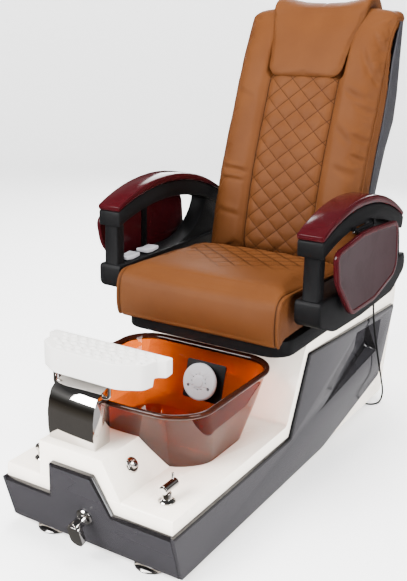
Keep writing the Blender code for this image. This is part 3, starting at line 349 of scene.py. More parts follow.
# %% Mesh helpers
def make_object(name, points, faces, material, body, smooth=35.0):
    """A mesh object from a point array and faces, welded, facing out, riding on a body."""
    mesh = bpy.data.meshes.new(name)
    mesh.from_pydata(np.asarray(points, float).reshape(-1, 3).tolist(), [], faces)
    thing = add_object(name, mesh)
    weld(mesh)
    mesh.materials.append(material)
    mesh.shade_smooth()
    mesh.set_sharp_from_angle(angle=math.radians(smooth))
    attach(thing, body)
    return thing


@contextmanager
def opened(mesh):
    """The mesh open for editing inside a with block, and written back after it."""
    work = bmesh.new()
    work.from_mesh(mesh)
    yield work
    work.to_mesh(mesh)
    work.free()


def weld(mesh):
    with opened(mesh) as work:
        bmesh.ops.remove_doubles(work, verts=work.verts, dist=1e-5)
        bmesh.ops.recalc_face_normals(work, faces=work.faces)


def grid_faces(rows, columns):
    """Quads over a rows by columns grid of points, each row joined round to its own start."""
    r, c = np.meshgrid(np.arange(rows - 1) * columns, np.arange(columns), indexing="ij")
    r2, c2 = r + columns, (c + 1) % columns
    return np.stack([r + c, r + c2, r2 + c2, r2 + c], axis=-1).reshape(-1, 4).tolist()


def capped_loft(rings):
    """Faces over a stack of closed rings (levels, points, 3), with both ends closed."""
    levels, count = rings.shape[:2]
    faces = grid_faces(levels, count)
    faces.append(list(range(count)))
    faces.append(list(range((levels - 1) * count, levels * count)))
    return faces


def bevelled(thing, width, segments):
    edge = thing.modifiers.new("edges", "BEVEL")
    edge.width, edge.segments = width, segments
    edge.limit_method, edge.angle_limit = "ANGLE", math.radians(32)
    edge.harden_normals = False


# %% [markdown]
# ## Hard parts
# Panels, taps and frames already have their true shape in the CAD model, but its edges are knife sharp and no
# real edge is. A welded copy of each node gets a small bevel, so that it catches a line of light.

# %% Hard parts from the CAD nodes
BODY_OF = {node: body for body, nodes in frame["record"]["behaviour"]["bodies"].items() for node in nodes}
SLOT_OF = {row["node"]: row["material_slot"] for row in frame["record"]["subparts"]}
REMADE = {"seat_cushion", "back_cushion", "head_pillow", "power_cord", "cord_coil", "footrest_pad", "foot_bowl"}
EDGE = {"tub_shell": 0.0060, "side_panel_left": 0.0012, "side_panel_right": 0.0012, "front_panel": 0.0016,
        "back_shell": 0.0025, "seat_skirt": 0.0020, "jet_plate": 0.0010, "cord_outlet": 0.0010}
OTHER_EDGES = 0.0006
LOOKS = {"jet_cover": jet_plastic}  # greyer than the rest of its slot


def soften(node, width):
    """A welded, smooth-shaded copy of a CAD node with bevelled edges, standing for it."""
    mesh = frame["nodes"][node].data.copy()
    mesh.materials.clear()
    copy = add_object(node + "_skin", mesh)
    weld(mesh)
    tidy = copy.modifiers.new("flat faces", "DECIMATE")
    tidy.decimate_type = "DISSOLVE"
    tidy.angle_limit = math.radians(0.6)
    bevelled(copy, width, 3 if width > 0.003 else 2)
    mesh.materials.append(LOOKS.get(node, FINISHES[SLOT_OF[node]]))
    mesh.shade_smooth()
    mesh.set_sharp_from_angle(angle=math.radians(40))
    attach(copy, BODY_OF[node])
    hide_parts(node)
    return copy


skins = {}
for node in sorted(frame["nodes"]):
    if node not in REMADE:
        skins[node] = soften(node, EDGE.get(node, OTHER_EDGES))
print("softened", len(skins), "nodes")

# %% [markdown]
# ## Panel flanges and tray bezels
# The lacquered panels are folded over along their top, which shows as a darker flange, and each tray has a glossy
# bezel round a satin field. The flange is a bevel on the chosen edges only, with a darker copy of the black lacquer:
# painted shade for the dark reflection the slanted band shows. The bezel is what two insets of the show face leave,
# once the field inside them has sunk a little.


# %% Flanges and bezels
def merge_flat(work):
    """Triangles in one plane joined into one face."""
    bmesh.ops.dissolve_limit(work, angle_limit=math.radians(1.0), verts=work.verts, edges=work.edges)


def show_face(work, outward):
    """All faces in the plane of the largest face that looks along outward."""
    facing = [f for f in work.faces if f.normal.dot(outward) > 0.8]
    widest = max(facing, key=lambda f: f.calc_area())
    level = widest.normal.dot(widest.calc_center_median())
    return [f for f in facing if f.normal.dot(widest.normal) > 0.999
            and abs(widest.normal.dot(f.calc_center_median()) - level) < 1e-4]


def flange(thing, outward, width):
    """The outer edges that run along the top of the outline, cut off at a slant and given a darker copy of the
    lacquer, painted shade for the band's dark reflection.
    """
    with opened(thing.data) as work:
        merge_flat(work)
        chosen = []
        for edge in work.edges:
            if len(edge.link_faces) != 2:
                continue
            out, top = sorted(edge.link_faces, key=lambda f: -f.normal.dot(outward))
            if out.normal.dot(outward) > 0.9 and top.normal.dot(outward) < 0.5 and top.normal.z > 0.3:
                chosen.append(edge)
        # material 1 on the bevel is the darker, painted-shade copy of the lacquer
        bmesh.ops.bevel(work, geom=chosen, offset=width, segments=2, profile=0.7, affect="EDGES", material=1)
    thing.data.materials.append(flange_painted_shade)


def bezel(thing, outward, width, sink):
    """A raised border round a sunk field of the second finish."""
    with opened(thing.data) as work:
        merge_flat(work)
        face = show_face(work, outward)
        bmesh.ops.inset_region(work, faces=face, thickness=width, depth=0.0, use_even_offset=True)
        bmesh.ops.inset_region(work, faces=face, thickness=BEZEL_SLOPE, depth=-sink, use_even_offset=True)
        for part in face:
            part.material_index = 1
    thing.data.materials.append(burgundy_satin)


SIDES = (("left", 1), ("right", -1))
FRONT_FLANGE, SIDE_FLANGE = 0.0125, 0.0110
BEZEL, BEZEL_SLOPE, FIELD_SINK = 0.0090, 0.0025, 0.0022
flange(skins["front_panel"], Vector((0, -1, 0)), FRONT_FLANGE)
for side, sign in SIDES:
    flange(skins["side_panel_" + side], Vector((sign, 0, 0)), SIDE_FLANGE)
    bezel(skins["tray_" + side], Vector((sign, 0, 0)), BEZEL, FIELD_SINK)
print("flanges and bezels made")

# %% [markdown]
# ## Padding
# A padded piece starts as a plain closed form, a little small. It is remeshed to an even skin, then blown up by
# cloth pressure, and no point may travel further than a cap, so that it still fits between its neighbours. Seams
# and quilting are pressed in afterwards, because a remesh would wipe them out.


# %% Padding helpers
DATUM = np.array([0.0, MIDDLE_Y, FOOT_H])
STEPS, PRESSURE = 20, 4.0     # frames of cloth simulation, and how hard it blows


def read_vectors(items, label):
    """One (x, y, z) from each item of a mesh's list, as an array."""
    flat = np.empty(len(items) * 3)
    items.foreach_get(label, flat)
    return flat.reshape(-1, 3)


def read_points(mesh):
    return read_vectors(mesh.vertices, "co")


def write_points(mesh, points):
    mesh.vertices.foreach_set("co", np.ascontiguousarray(points, float).ravel())
    mesh.update()


def settle(thing):
    """Bake an object's modifiers into its mesh."""
    seen = thing.evaluated_get(bpy.context.evaluated_depsgraph_get())
    mesh = bpy.data.meshes.new_from_object(seen)
    thing.modifiers.clear()
    old = thing.data
    thing.data = mesh
    bpy.data.meshes.remove(old)


def ironed(mesh, values, rounds):
    """Each point's value mixed with its neighbours' mean, over and over, which takes out small creases."""
    ends = np.empty(len(mesh.edges) * 2, int)
    mesh.edges.foreach_get("vertices", ends)
    a, b = ends.reshape(-1, 2).T
    count = np.bincount(ends, minlength=len(values))[:, None]
    for _ in range(rounds):
        total = np.zeros_like(values)
        np.add.at(total, a, values[b])
        np.add.at(total, b, values[a])
        values = 0.5 * values + 0.5 * total / np.maximum(count, 1)
    return values


def swell(thing, cap, voxel=0.006, held=None, iron=0):
    """Remesh, blow up with cloth pressure, even the travel out `iron` times, and cap it with a smooth limit.
    held gives each point's share of that travel."""
    remesh = thing.modifiers.new("even skin", "REMESH")
    remesh.mode = "VOXEL"
    remesh.voxel_size = voxel
    settle(thing)
    before, normals = read_points(thing.data), read_vectors(thing.data.vertex_normals, "vector")
    cloth = thing.modifiers.new("cloth", "CLOTH")
    cloth.settings.use_pressure = True
    cloth.settings.uniform_pressure_force = PRESSURE
    cloth.settings.effector_weights.gravity = 0.0
    cloth.settings.quality = 4
    cloth.point_cache.frame_start, cloth.point_cache.frame_end = 1, STEPS
    for step in range(1, STEPS + 1):
        bpy.context.scene.frame_set(step)
    settle(thing)
    travel = read_points(thing.data) - before
    bpy.context.scene.frame_set(1)
    travel = ironed(thing.data, travel, iron)
    length = np.linalg.norm(travel, axis=1, keepdims=True) + 1e-9
    travel *= cap * np.tanh(length / cap) / length
    if held is not None:
        travel *= held(before, normals)[:, None]
    write_points(thing.data, before + travel)
    print(f"{thing.name}: {len(before)} points, travelled {np.abs(travel).max() * 1000:.1f} mm at most")


def refine(thing):
    fine = thing.modifiers.new("fine skin", "SUBSURF")
    fine.levels = fine.render_levels = 1
    settle(thing)


def press(thing, depth):
    """Move each point along its normal by depth(points, normals), out where it is positive."""
    points, normals = read_points(thing.data), read_vectors(thing.data.vertex_normals, "vector")
    write_points(thing.data, points + normals * depth(points, normals)[:, None])
    thing.data.shade_smooth()


def step01(value, low, high):
    """0 below low, 1 above high, and a smooth S between them."""
    t = np.clip((value - low) / (high - low), 0.0, 1.0)
    return t * t * (3 - 2 * t)


def groove(distance, width):
    """A soft-sided valley of depth 1 at distance 0."""
    return np.exp(-(distance / width) ** 2)


def ripples(points, seed, scale, count=7):
    """A smooth random field from -1 to 1: a few sine waves of random direction and phase, added up."""
    draw = np.random.default_rng(seed)
    waves = draw.normal(size=(count, 3)) * scale
    phase = draw.uniform(0, 2 * np.pi, count)
    return np.sin(points @ waves.T + phase).sum(axis=1) / math.sqrt(count * 2)


def smooth_loop(corners, rounds=3):
    """Chaikin's corner cutting: each corner is replaced by two points a quarter along its edges."""
    line = np.asarray(corners, float)
    for _ in range(rounds):
        ahead = np.roll(line, -1, axis=0)
        line = np.stack([0.75 * line + 0.25 * ahead, 0.25 * line + 0.75 * ahead], axis=1).reshape(-1, 2)
    return line


def resample(line, count, closed=False):
    """The same line with its points spread evenly along it."""
    full = np.vstack([line, line[:1]]) if closed else line
    run = np.concatenate([[0.0], np.cumsum(np.linalg.norm(np.diff(full, axis=0), axis=1))])
    stops = np.linspace(0.0, run[-1], count + 1)[:-1] if closed else np.linspace(0.0, run[-1], count)
    return np.stack([np.interp(stops, run, full[:, k]) for k in range(full.shape[1])], axis=1)


def loop_normals(loop):
    """Outward normals of a closed (y, z) loop that runs up its front and back down its rear."""
    along = np.roll(loop, -1, axis=0) - np.roll(loop, 1, axis=0)
    out = np.stack([-along[:, 1], along[:, 0]], axis=1)
    return out / np.linalg.norm(out, axis=1, keepdims=True)


def swept(loop, half, start, depth, facing=None):
    """A side view carried across from -half to half. Beyond `start` it draws in on a quarter circle by up to
    `depth`; where a facing mask is given, only by that share."""
    across = np.sin(np.linspace(-np.pi / 2, np.pi / 2, 49)) * half
    t = np.clip((np.abs(across) - start) / (half - start), 0.0, 1.0)
    inward = depth * (1 - np.sqrt(1 - t * t * 0.999))
    share = np.ones(len(loop)) if facing is None else facing
    shape = loop[None] - loop_normals(loop)[None] * inward[:, None, None] * share[None, :, None]
    x = np.broadcast_to(across[:, None, None], shape[..., :1].shape)
    return np.concatenate([x, shape], axis=-1)


def padding_done(thing, node):
    """Say which cushion the pad stands for and how full it is."""
    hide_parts(node)
    points = read_points(thing.data)
    print(node, points.min(axis=0), points.max(axis=0))


def valley_and_puff(across, along):
    """Quilting in the mesh: each diamond swells to its middle between shallow valleys."""
    one = np.pi * (along + QUILT_SLOPE * across) / QUILT_PITCH
    two = np.pi * (along - QUILT_SLOPE * across) / QUILT_PITCH
    return np.sqrt(np.abs(np.sin(one) * np.sin(two)))


# %% [markdown]
# ## Seat cushion
# The seat is one thick pad whose front rolls down over the pan. Its ends are flat gussets, sewn in with piping,
# and its rear middle is lightly quilted. Its side view is drawn first, then carried across.

# %% Seat cushion
SEAT_SIDE = [(0.6080, 0.4860), (0.5880, 0.4700), (0.5620, 0.4640), (0.5480, 0.4860), (0.5460, 0.5450),
             (0.5520, 0.6020), (0.5900, 0.6230), (0.7000, 0.6240), (0.8500, 0.6200), (1.0000, 0.6100),
             (1.0780, 0.6060), (1.0780, 0.4860)]
SEAT_REACH, SEAT_REAR = 0.3020, 1.0945          # room between the armrests, and up to the backrest
LIP_BACK, LIP_LOW, SKIRT_TOP = 0.5868, 0.4550, 0.4766
SEAT_VALLEY = 0.2770                            # from the middle to the dip beside each piping
seat_loop = resample(smooth_loop(SEAT_SIDE), 200, closed=True)
rings = swept(seat_loop, 0.2900, 0.2740, 0.0130) + DATUM
seat_pad = make_object("seat_pad", rings, capped_loft(rings), seat_leather, "seat")


def seat_hold(points, normals):
    """The top swells most, the taut front less, the gussets and the underside hardly at all."""
    front = 1 - 0.45 * step01(-normals[:, 1], 0.2, 0.7)
    return (1 - 0.80 * np.abs(normals[:, 0]) ** 2) * np.where(normals[:, 2] < -0.5, 0.25, front)


swell(seat_pad, 0.0200, held=seat_hold, iron=30)
refine(seat_pad)


def seat_marks(points, normals):
    """A valley inside each gusset's piping, puffed diamonds at the rear, and faint creases."""
    p = points - DATUM
    top = step01(normals[:, 2], 0.5, 0.9)
    seam = groove(np.abs(p[:, 0]) - SEAT_VALLEY, 0.0040) * (p[:, 2] > 0.470)
    rear = step01(p[:, 1] - 0.5 * np.abs(p[:, 0]), 0.68, 0.78) * step01(0.205 - np.abs(p[:, 0]), 0.0, 0.02) * top
    creases = ripples(p * [1.0, 2.0, 1.0], 5, 14.0) * 0.0010 * top
    return 0.0030 * valley_and_puff(p[:, 0], points[:, 1]) * rear - 0.0022 * seam + creases


press(seat_pad, seat_marks)
points = read_points(seat_pad.data)
behind_lip = points[:, 1] > LIP_BACK + MIDDLE_Y
points[:, 0] = np.clip(points[:, 0], -SEAT_REACH, SEAT_REACH)
points[:, 1] = np.minimum(points[:, 1], SEAT_REAR + MIDDLE_Y)
points[:, 2] = np.maximum(points[:, 2], np.where(behind_lip, SKIRT_TOP, LIP_LOW) + FOOT_H)
write_points(seat_pad.data, points)
padding_done(seat_pad, "seat_cushion")

# %% [markdown]
# ## Back cushion
# The backrest leans back in a long curve. Two plump bolsters run up its sides, and a quilted panel is sunk between
# them. Towards its sides the face rolls away to the rear, where a piped seam closes it. A few creases, where the
# leather is pulled by its side seams, are drawn as line segments and pressed in.

# %% Back cushion
BACK_FACE = np.array([(0.575, 1.097), (0.610, 1.100), (0.700, 1.115), (0.855, 1.150), (0.976, 1.190), (1.070, 1.228),
                      (1.165, 1.262), (1.250, 1.295), (1.345, 1.346), (1.392, 1.386)])
ROLL = np.array([(1.412, 1.405), (1.425, 1.432), (1.424, 1.462), (1.408, 1.478), (1.390, 1.474)])
PILLOW_FOOT = 1.191
BACK_HALF, BACK_REACH = 0.2820, 0.2995          # as drawn, and the most it may swell to


def back_line():
    """The side view as a closed (y, z) loop: up the face, over the roll and down the rear."""
    face = np.vstack([[(0.562, 1.112)], BACK_FACE + [0.0, 0.010]])
    rear_z = np.array([1.345, 1.250, 1.165, 1.070, 0.976, 0.855, 0.700, 0.600, 0.572])
    depth = 0.086 - 0.043 * np.clip((rear_z - 1.1) / 0.28, 0.0, 1.0)
    rear = np.stack([rear_z, np.interp(rear_z, BACK_FACE[:, 0], BACK_FACE[:, 1]) + depth], axis=1)
    loop = smooth_loop(np.vstack([face, ROLL, rear])[:, ::-1])
    return resample(loop, 240, closed=True)


def back_start():
    """The side view carried across, its front drawn in at the sides, and its upper corners rounded."""
    loop = back_line()
    front = step01(-(loop_normals(loop) @ np.array([0.9, -0.45])), -0.1, 0.5)
    rings = swept(loop, BACK_HALF, 0.2080, 0.0260, front)
    rise = np.clip(rings[..., 2] - 1.378, 0.0, 0.0499)
    rings[..., 0] *= (BACK_HALF - 0.050 + np.sqrt(0.050 ** 2 - rise ** 2)) / BACK_HALF
    return rings + DATUM


rings = back_start()
back_pad = make_object("back_pad", rings, capped_loft(rings), back_leather, "back")


def back_hold(points, normals):
    """Bolsters may swell fully, the rear and what lies under the head pad hardly at all."""
    p = points - DATUM
    face = np.interp(p[:, 2], BACK_FACE[:, 0], BACK_FACE[:, 1])
    behind = step01(p[:, 1] - face, 0.045, 0.075)
    under = step01(p[:, 2], PILLOW_FOOT, PILLOW_FOOT + 0.02) * step01(0.150 - np.abs(p[:, 0]), 0.0, 0.02)
    return (1 - 0.93 * behind) * (1 - 0.85 * under) * (1 - 0.35 * np.abs(normals[:, 0]))


swell(back_pad, 0.022, held=back_hold)
refine(back_pad)

# from (x, z) to (x, z), width and depth; all in metres
CREASES = [(0.196, 1.300, 0.236, 1.205, 0.0135, 0.0057), (0.222, 1.345, 0.256, 1.285, 0.0105, 0.0046),
           (0.226, 1.250, 0.262, 1.175, 0.0120, 0.0052), (0.165, 1.165, 0.235, 1.125, 0.0150, 0.0046),
           (0.205, 1.120, 0.262, 1.085, 0.0120, 0.0040), (0.150, 1.050, 0.215, 0.985, 0.0165, 0.0040),
           (0.215, 1.020, 0.262, 0.995, 0.0105, 0.0046), (0.225, 0.955, 0.262, 0.935, 0.0090, 0.0040),
           (0.170, 0.915, 0.250, 0.885, 0.0150, 0.0034), (-0.262, 0.880, -0.135, 0.866, 0.0105, 0.0037),
           (-0.262, 0.842, -0.150, 0.836, 0.0090, 0.0030), (-0.255, 1.150, -0.175, 1.115, 0.0165, 0.0025),
           (0.140, 0.780, 0.240, 0.752, 0.0135, 0.0034), (-0.250, 0.730, -0.150, 0.712, 0.0135, 0.0030)]


def creased(x, z):
    """Each crease is a valley along a segment, with a low ridge beside it, tapered to its ends."""
    total = np.zeros(len(x))
    for x0, z0, x1, z1, width, depth in CREASES:
        run = np.array([x1 - x0, z1 - z0])
        length = np.linalg.norm(run)
        run = run / length
        along = (x - x0) * run[0] + (z - z0) * run[1]
        off = (z - z0) * run[0] - (x - x0) * run[1] + 0.10 * width * np.sin(along * 60)
        taper = step01(along, -0.012, 0.35 * length) * step01(length + 0.012 - along, 0.0, 0.35 * length)
        total += depth * taper * (0.75 * groove(off - 1.25 * width, width) - groove(off, 0.8 * width))
    return total


def back_marks(points, normals):
    """Bolster seams, the sunk and quilted panel, and the bolsters' creases."""
    p = points - DATUM
    x, z = p[:, 0], p[:, 2]
    front = step01(-(normals @ np.array([0.0, 0.9, -0.35])), 0.25, 0.7)
    inside = step01(PANEL_HALF - np.abs(x), -0.003, 0.005)
    seam = groove(np.abs(x) - PANEL_HALF, 0.0040)
    shoulder = groove(np.abs(x) - PANEL_HALF, 0.020)
    bolster = step01(np.abs(x), PANEL_HALF, PANEL_HALF + 0.035)
    slack = ripples(p, 3, 13.0) * 0.0016 + ripples(p, 8, 30.0) * 0.0006
    depth = -0.0065 * seam - 0.0080 * shoulder - 0.0050 * inside
    depth += inside * 0.0046 * valley_and_puff(x, z) + bolster * (0.004 + slack + creased(x, z))
    return depth * front


press(back_pad, back_marks)
points = read_points(back_pad.data)
points[:, 0] = np.clip(points[:, 0], -BACK_REACH, BACK_REACH)
write_points(back_pad.data, points)
padding_done(back_pad, "back_cushion")

# %% [markdown]
# ## Head pad
# A loose flap of padded leather hangs over the top of the backrest. It is narrow at its rounded lower edge and
# flares to two raised corners, with a dip between them for the neck.


# %% Head pad
def head_line():
    """From the flap's foot up the face and over the top, as (y, z) points with their outward normals."""
    loop = back_line()
    start = np.argmin(np.hypot(loop[:, 0] - 1.272, loop[:, 1] - PILLOW_FOOT))
    end = np.argmin(np.hypot(loop[:, 0] - 1.478, loop[:, 1] - 1.405))
    line = loop[start:end + 1] if end > start else np.vstack([loop[start:], loop[:end + 1]])
    line = resample(line, 60)
    along = np.gradient(line, axis=0)
    out = np.stack([-along[:, 1], along[:, 0]], axis=1)
    return line, out / np.linalg.norm(out, axis=1, keepdims=True)


def head_start():
    """Flat oval cross-sections on that line, their width set by rounded ends and a flare."""
    line, out = head_line()
    share = np.linspace(0.0, 1.0, len(line))
    length = np.linalg.norm(np.diff(line, axis=0), axis=1).sum()
    run = share * length
    corner = 0.050
    inset = corner - np.sqrt(np.maximum(corner ** 2 - np.clip(corner - run, 0, corner) ** 2, 0))
    half = 0.144 + 0.040 * step01(share, 0.05, 0.85) - inset
    thick = 0.021 * np.sqrt(np.clip(1 - (1 - np.clip(run / 0.012, 0, 1)) ** 2, 0.02, 1))
    thick *= np.sqrt(np.clip(1 - (1 - np.clip((length - run) / 0.02, 0, 1)) ** 2, 0.05, 1))
    around = np.linspace(0, 2 * np.pi, 65)[:-1]
    c, s = np.cos(around)[None, :], np.sin(around)[None, :]
    x = half[:, None] * np.sign(c) * np.abs(c) ** 0.45
    off = 0.5 * thick[:, None] * np.sign(s) * np.abs(s) ** 0.7
    hump = step01(share, 0.35, 0.80)[:, None] * (0.026 * (np.abs(x) / 0.185) ** 2.2 - 0.002)
    lift = 0.0135 + off + hump * (0.5 + 0.5 * np.clip(2 * s, -1, 1))
    y = line[:, :1] + out[:, :1] * lift
    z = line[:, 1:] + out[:, 1:] * lift
    return np.stack([x, y, z], axis=-1) + DATUM


rings = head_start()
head_pad = make_object("head_pad", rings, capped_loft(rings), tan_leather, "back")
swell(head_pad, 0.006, 0.005)
refine(head_pad)
press(head_pad, lambda p, n: ripples(p, 21, 14.0) * 0.0012)
padding_done(head_pad, "head_pillow")

# %% [markdown]
# ## Piping
# A piped seam is a thin leather cord sewn into the joint of two panels. Its line is found by casting rays at the
# finished cushion from outside, so that it lies on the skin wherever the swelling has put it.


# %% Piping
def tube_object(name, line, radius, material, body):
    """A round tube along a line of points, as a mesh with closed ends."""
    curve = bpy.data.curves.new(name, "CURVE")
    curve.dimensions = "3D"
    curve.bevel_depth, curve.bevel_resolution = radius, 3
    curve.use_fill_caps = True
    spline = curve.splines.new("POLY")
    spline.points.add(len(line) - 1)
    spline.points.foreach_set("co", np.column_stack([line, np.ones(len(line))]).ravel())
    holder = add_object(name + "_line", curve)
    mesh = bpy.data.meshes.new_from_object(holder.evaluated_get(bpy.context.evaluated_depsgraph_get()))
    bpy.data.objects.remove(holder)
    thing = add_object(name, mesh)
    mesh.materials.clear()
    mesh.materials.append(material)
    mesh.shade_smooth()
    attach(thing, body)
    return thing


def on_skin(thing, starts, ways):
    """Where rays, each from a start point along its way, meet the cushion."""
    hits = [thing.ray_cast(Vector(start), Vector(way)) for start, way in zip(starts, ways)]
    return np.array([place for hit, place, _, _ in hits if hit])


def on_side(thing, line, sign):
    """Rays from the side, one for each (y, z) of line."""
    starts = [(sign * 0.45, y + MIDDLE_Y, z + FOOT_H) for y, z in line]
    return on_skin(thing, starts, [(-sign, 0, 0)] * len(line))


def on_outline(thing, line, out, x):
    """Rays shot inwards along the outline's own normals, in the plane at x."""
    starts = [(x, y + 0.06 * ny + MIDDLE_Y, z + 0.06 * nz + FOOT_H) for (y, z), (ny, nz) in zip(line, out)]
    return on_skin(thing, starts, [(0, -ny, -nz) for ny, nz in out])


def smoothed(line, passes=4):
    """Each point drawn to the middle of its neighbours, over and over; the ends stay."""
    for _ in range(passes):
        line[1:-1] = 0.25 * line[:-2] + 0.5 * line[1:-1] + 0.25 * line[2:]
    return line


SEAT_PIPE, BACK_PIPE = 0.0050, 0.0036
first = np.argmin(seat_loop[:, 0] + 4 * seat_loop[:, 1])   # the lip's lowest point
seat_seam, seat_out = (np.roll(part, -first, axis=0)[:118] for part in (seat_loop, loop_normals(seat_loop)))
back_seam_z = np.linspace(0.600, 1.385, 60)
BACK_SEAM = np.stack([np.interp(back_seam_z, BACK_FACE[:, 0], BACK_FACE[:, 1]) + 0.042
                      - 0.012 * step01(back_seam_z, 1.2, 1.385), back_seam_z], axis=1)
seat_edge = np.abs(read_points(seat_pad.data)[:, 0]).max() - 0.0065
for side, sign in SIDES:
    seat_line = smoothed(on_outline(seat_pad, seat_seam, seat_out, sign * seat_edge))
    tube_object("seat_piping_" + side, seat_line, SEAT_PIPE, tan_leather, "seat")
    back_line_here = smoothed(on_side(back_pad, BACK_SEAM, sign))
    tube_object("back_piping_" + side, back_line_here, BACK_PIPE, tan_leather, "back")
print("piping laid, the seat's through", len(seat_line), "points")

# %% [markdown]
# ## Foot bowl
# The bowl is one wall of clear amber resin with a rolled rim. Each level is a rectangle with round corners, bowed
# at the front; the levels are stacked up the outside, over the rim and down the inside to the floor.

# %% Foot bowl
BOWL_LEVELS = np.array([(0.070, 0.125, 0.300, 0.515, 0.060), (0.085, 0.150, 0.278, 0.535, 0.075),
                        (0.183, 0.198, 0.232, 0.582, 0.090), (0.300, 0.232, 0.176, 0.612, 0.095),
                        (0.380, 0.249, 0.132, 0.636, 0.098), (0.402, 0.253, 0.1235, 0.641, 0.100)])
BOWL_WALL, RIM_FROM = 0.006, 0.3830


def bowl_ring(z, grow, count=20):
    """One level, `grow` larger all round: four arcs, joined by the front's bow."""
    half, front, rear, radius = (np.interp(z, BOWL_LEVELS[:, 0], BOWL_LEVELS[:, k]) for k in (1, 2, 3, 4))
    half, front, rear, radius = half + grow, front - grow, rear + grow, radius + grow
    quarter = np.linspace(0, np.pi / 2, count)
    corners = [(half - radius, rear - radius), (radius - half, rear - radius), (radius - half, front + radius),
               (half - radius, front + radius)]
    arcs = [np.stack([cx + radius * np.cos(quarter + k * np.pi / 2), cy + radius * np.sin(quarter + k * np.pi / 2)],
                     axis=1) for k, (cx, cy) in enumerate(corners)]
    straight = np.linspace(arcs[2][-1], arcs[3][0], 14)[1:-1]
    plan = np.vstack([arcs[0], arcs[1], arcs[2], straight, arcs[3]])
    bow = 0.22 * front * (plan[:, 0] / half) ** 2 * np.clip((rear - plan[:, 1]) / (rear - front), 0, 1) ** 2
    return np.stack([plan[:, 0], plan[:, 1] + bow, np.full(len(plan), z)], axis=1)


def bowl_rings():
    """Levels up the outside, over a round rim and down the inside, with the floor's level last."""
    up = np.linspace(0.070, 0.380, 26)
    rim = np.linspace(-0.5 * np.pi, np.pi, 13)
    rim_mid, rim_r = 0.3925, 0.0092
    outside = [bowl_ring(z, 0.0) for z in up]
    lip = [bowl_ring(rim_mid + rim_r * math.sin(a), 0.0005 + rim_r * math.cos(a)) for a in rim]
    inside = [bowl_ring(z, -BOWL_WALL) for z in up[::-1][1:-1]]
    floor = bowl_ring(0.077, -BOWL_WALL - 0.006)
    floor[:, 2] = 0.077
    return np.stack(outside + lip + inside + [floor]) + DATUM


rings = bowl_rings()
bowl = make_object("resin_bowl", rings, capped_loft(rings), amber_resin, "base", 60.0)
bowl.data.materials.append(amber_rim)
on_rim = (read_vectors(bowl.data.polygons, "center")[:, 2] > RIM_FROM + FOOT_H).astype(np.int32)
bowl.data.polygons.foreach_set("material_index", on_rim)
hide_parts("foot_bowl")
print("bowl", bowl.dimensions)

# %% [markdown]
# ## Foot rest
# The rest is a moulded slab on a chrome rod. Low oval nubs in staggered rows stop a wet foot from slipping.

# %% Foot rest
rest_pad = soften("footrest_pad", 0.0080)
rest_pad.modifiers["edges"].segments = 4
NUB_X, NUB_Y = 0.0330, 0.0215                    # spacing across and along
NUB_LONG, NUB_WIDE, NUB_TALL = 0.0125, 0.0075, 0.0060


def make_nubs():
    """Flattened domes on a staggered grid, kept inside the slab's outline."""
    low, high = (np.array(v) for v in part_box("footrest_pad"))
    mid_x = (low[0] + high[0]) / 2
    rows = np.arange(low[1] + 0.020, high[1] - 0.010, NUB_Y)
    spots = []
    for k, y in enumerate(rows):
        reach = 0.150 if k > 1 else (0.105, 0.140)[k]
        count = int(2 * reach / NUB_X)
        offset = NUB_X / 2 if k % 2 else 0.0
        spots += [(mid_x + (i - count / 2) * NUB_X + offset, y) for i in range(count + 1)]
    spots = np.array(spots)
    ring = np.linspace(0, 2 * np.pi, 13)[:-1]
    tiers = np.radians([0.0, 35.0, 65.0])
    dome = np.stack([np.outer(np.cos(tiers), np.cos(ring)) * NUB_LONG,
                     np.outer(np.cos(tiers), np.sin(ring)) * NUB_WIDE,
                     np.outer(np.sin(tiers), np.ones(12)) * NUB_TALL], axis=-1)
    base = np.array([0.0, 0.0, high[2] - 0.0004])
    points, faces = [], []
    for x, y in spots:
        first = len(points) * 36
        points.append(dome.reshape(-1, 3) + base + [x, y, 0.0])
        faces += [[first + v for v in face] for face in capped_loft(dome)]
    make_object("rest_nubs", np.vstack(points), faces, white_plastic, "foot_rest", 70.0)
    return len(spots)


print("nubs:", make_nubs())

# %% [markdown]
# ## Mains lead
# The lead leaves its strain relief beside the seat, drops to the floor and runs under the base. The spare length
# lies coiled behind the base, two layers deep, and ends in its plug.

# %% Mains lead
LEAD_R = 0.0035
OUTLET = (0.2985, 1.305)
COIL_AT = np.array([0.0, 1.672])
FLOOR_Z = LEAD_R + 0.0002 - FOOT_H


def lead_route():
    """Listed points, from the strain relief to where the coil starts: first hanging, then on the floor.
    They are measured from the outlet in plan."""
    hanging = [(0, 0, 0.4245), (0, 0.001, 0.400), (0.001, 0.010, 0.350), (0.003, 0.030, 0.290),
               (0.005, 0.057, 0.220), (0.007, 0.087, 0.150), (0.009, 0.117, 0.085), (0.010, 0.138, 0.035),
               (0.010, 0.140, 0.006), (0.008, 0.124, FLOOR_Z + 0.003)]
    lying = [(0.002, 0.100), (-0.014, 0.082), (-0.037, 0.078), (-0.064, 0.090), (-0.100, 0.125), (-0.130, 0.175),
             (-0.165, 0.232), (-0.215, 0.278), (-0.262, 0.303)]
    route = hanging + [(x, y, FLOOR_Z) for x, y in lying]
    return [(OUTLET[0] + x, OUTLET[1] + y, z) for x, y, z in route]


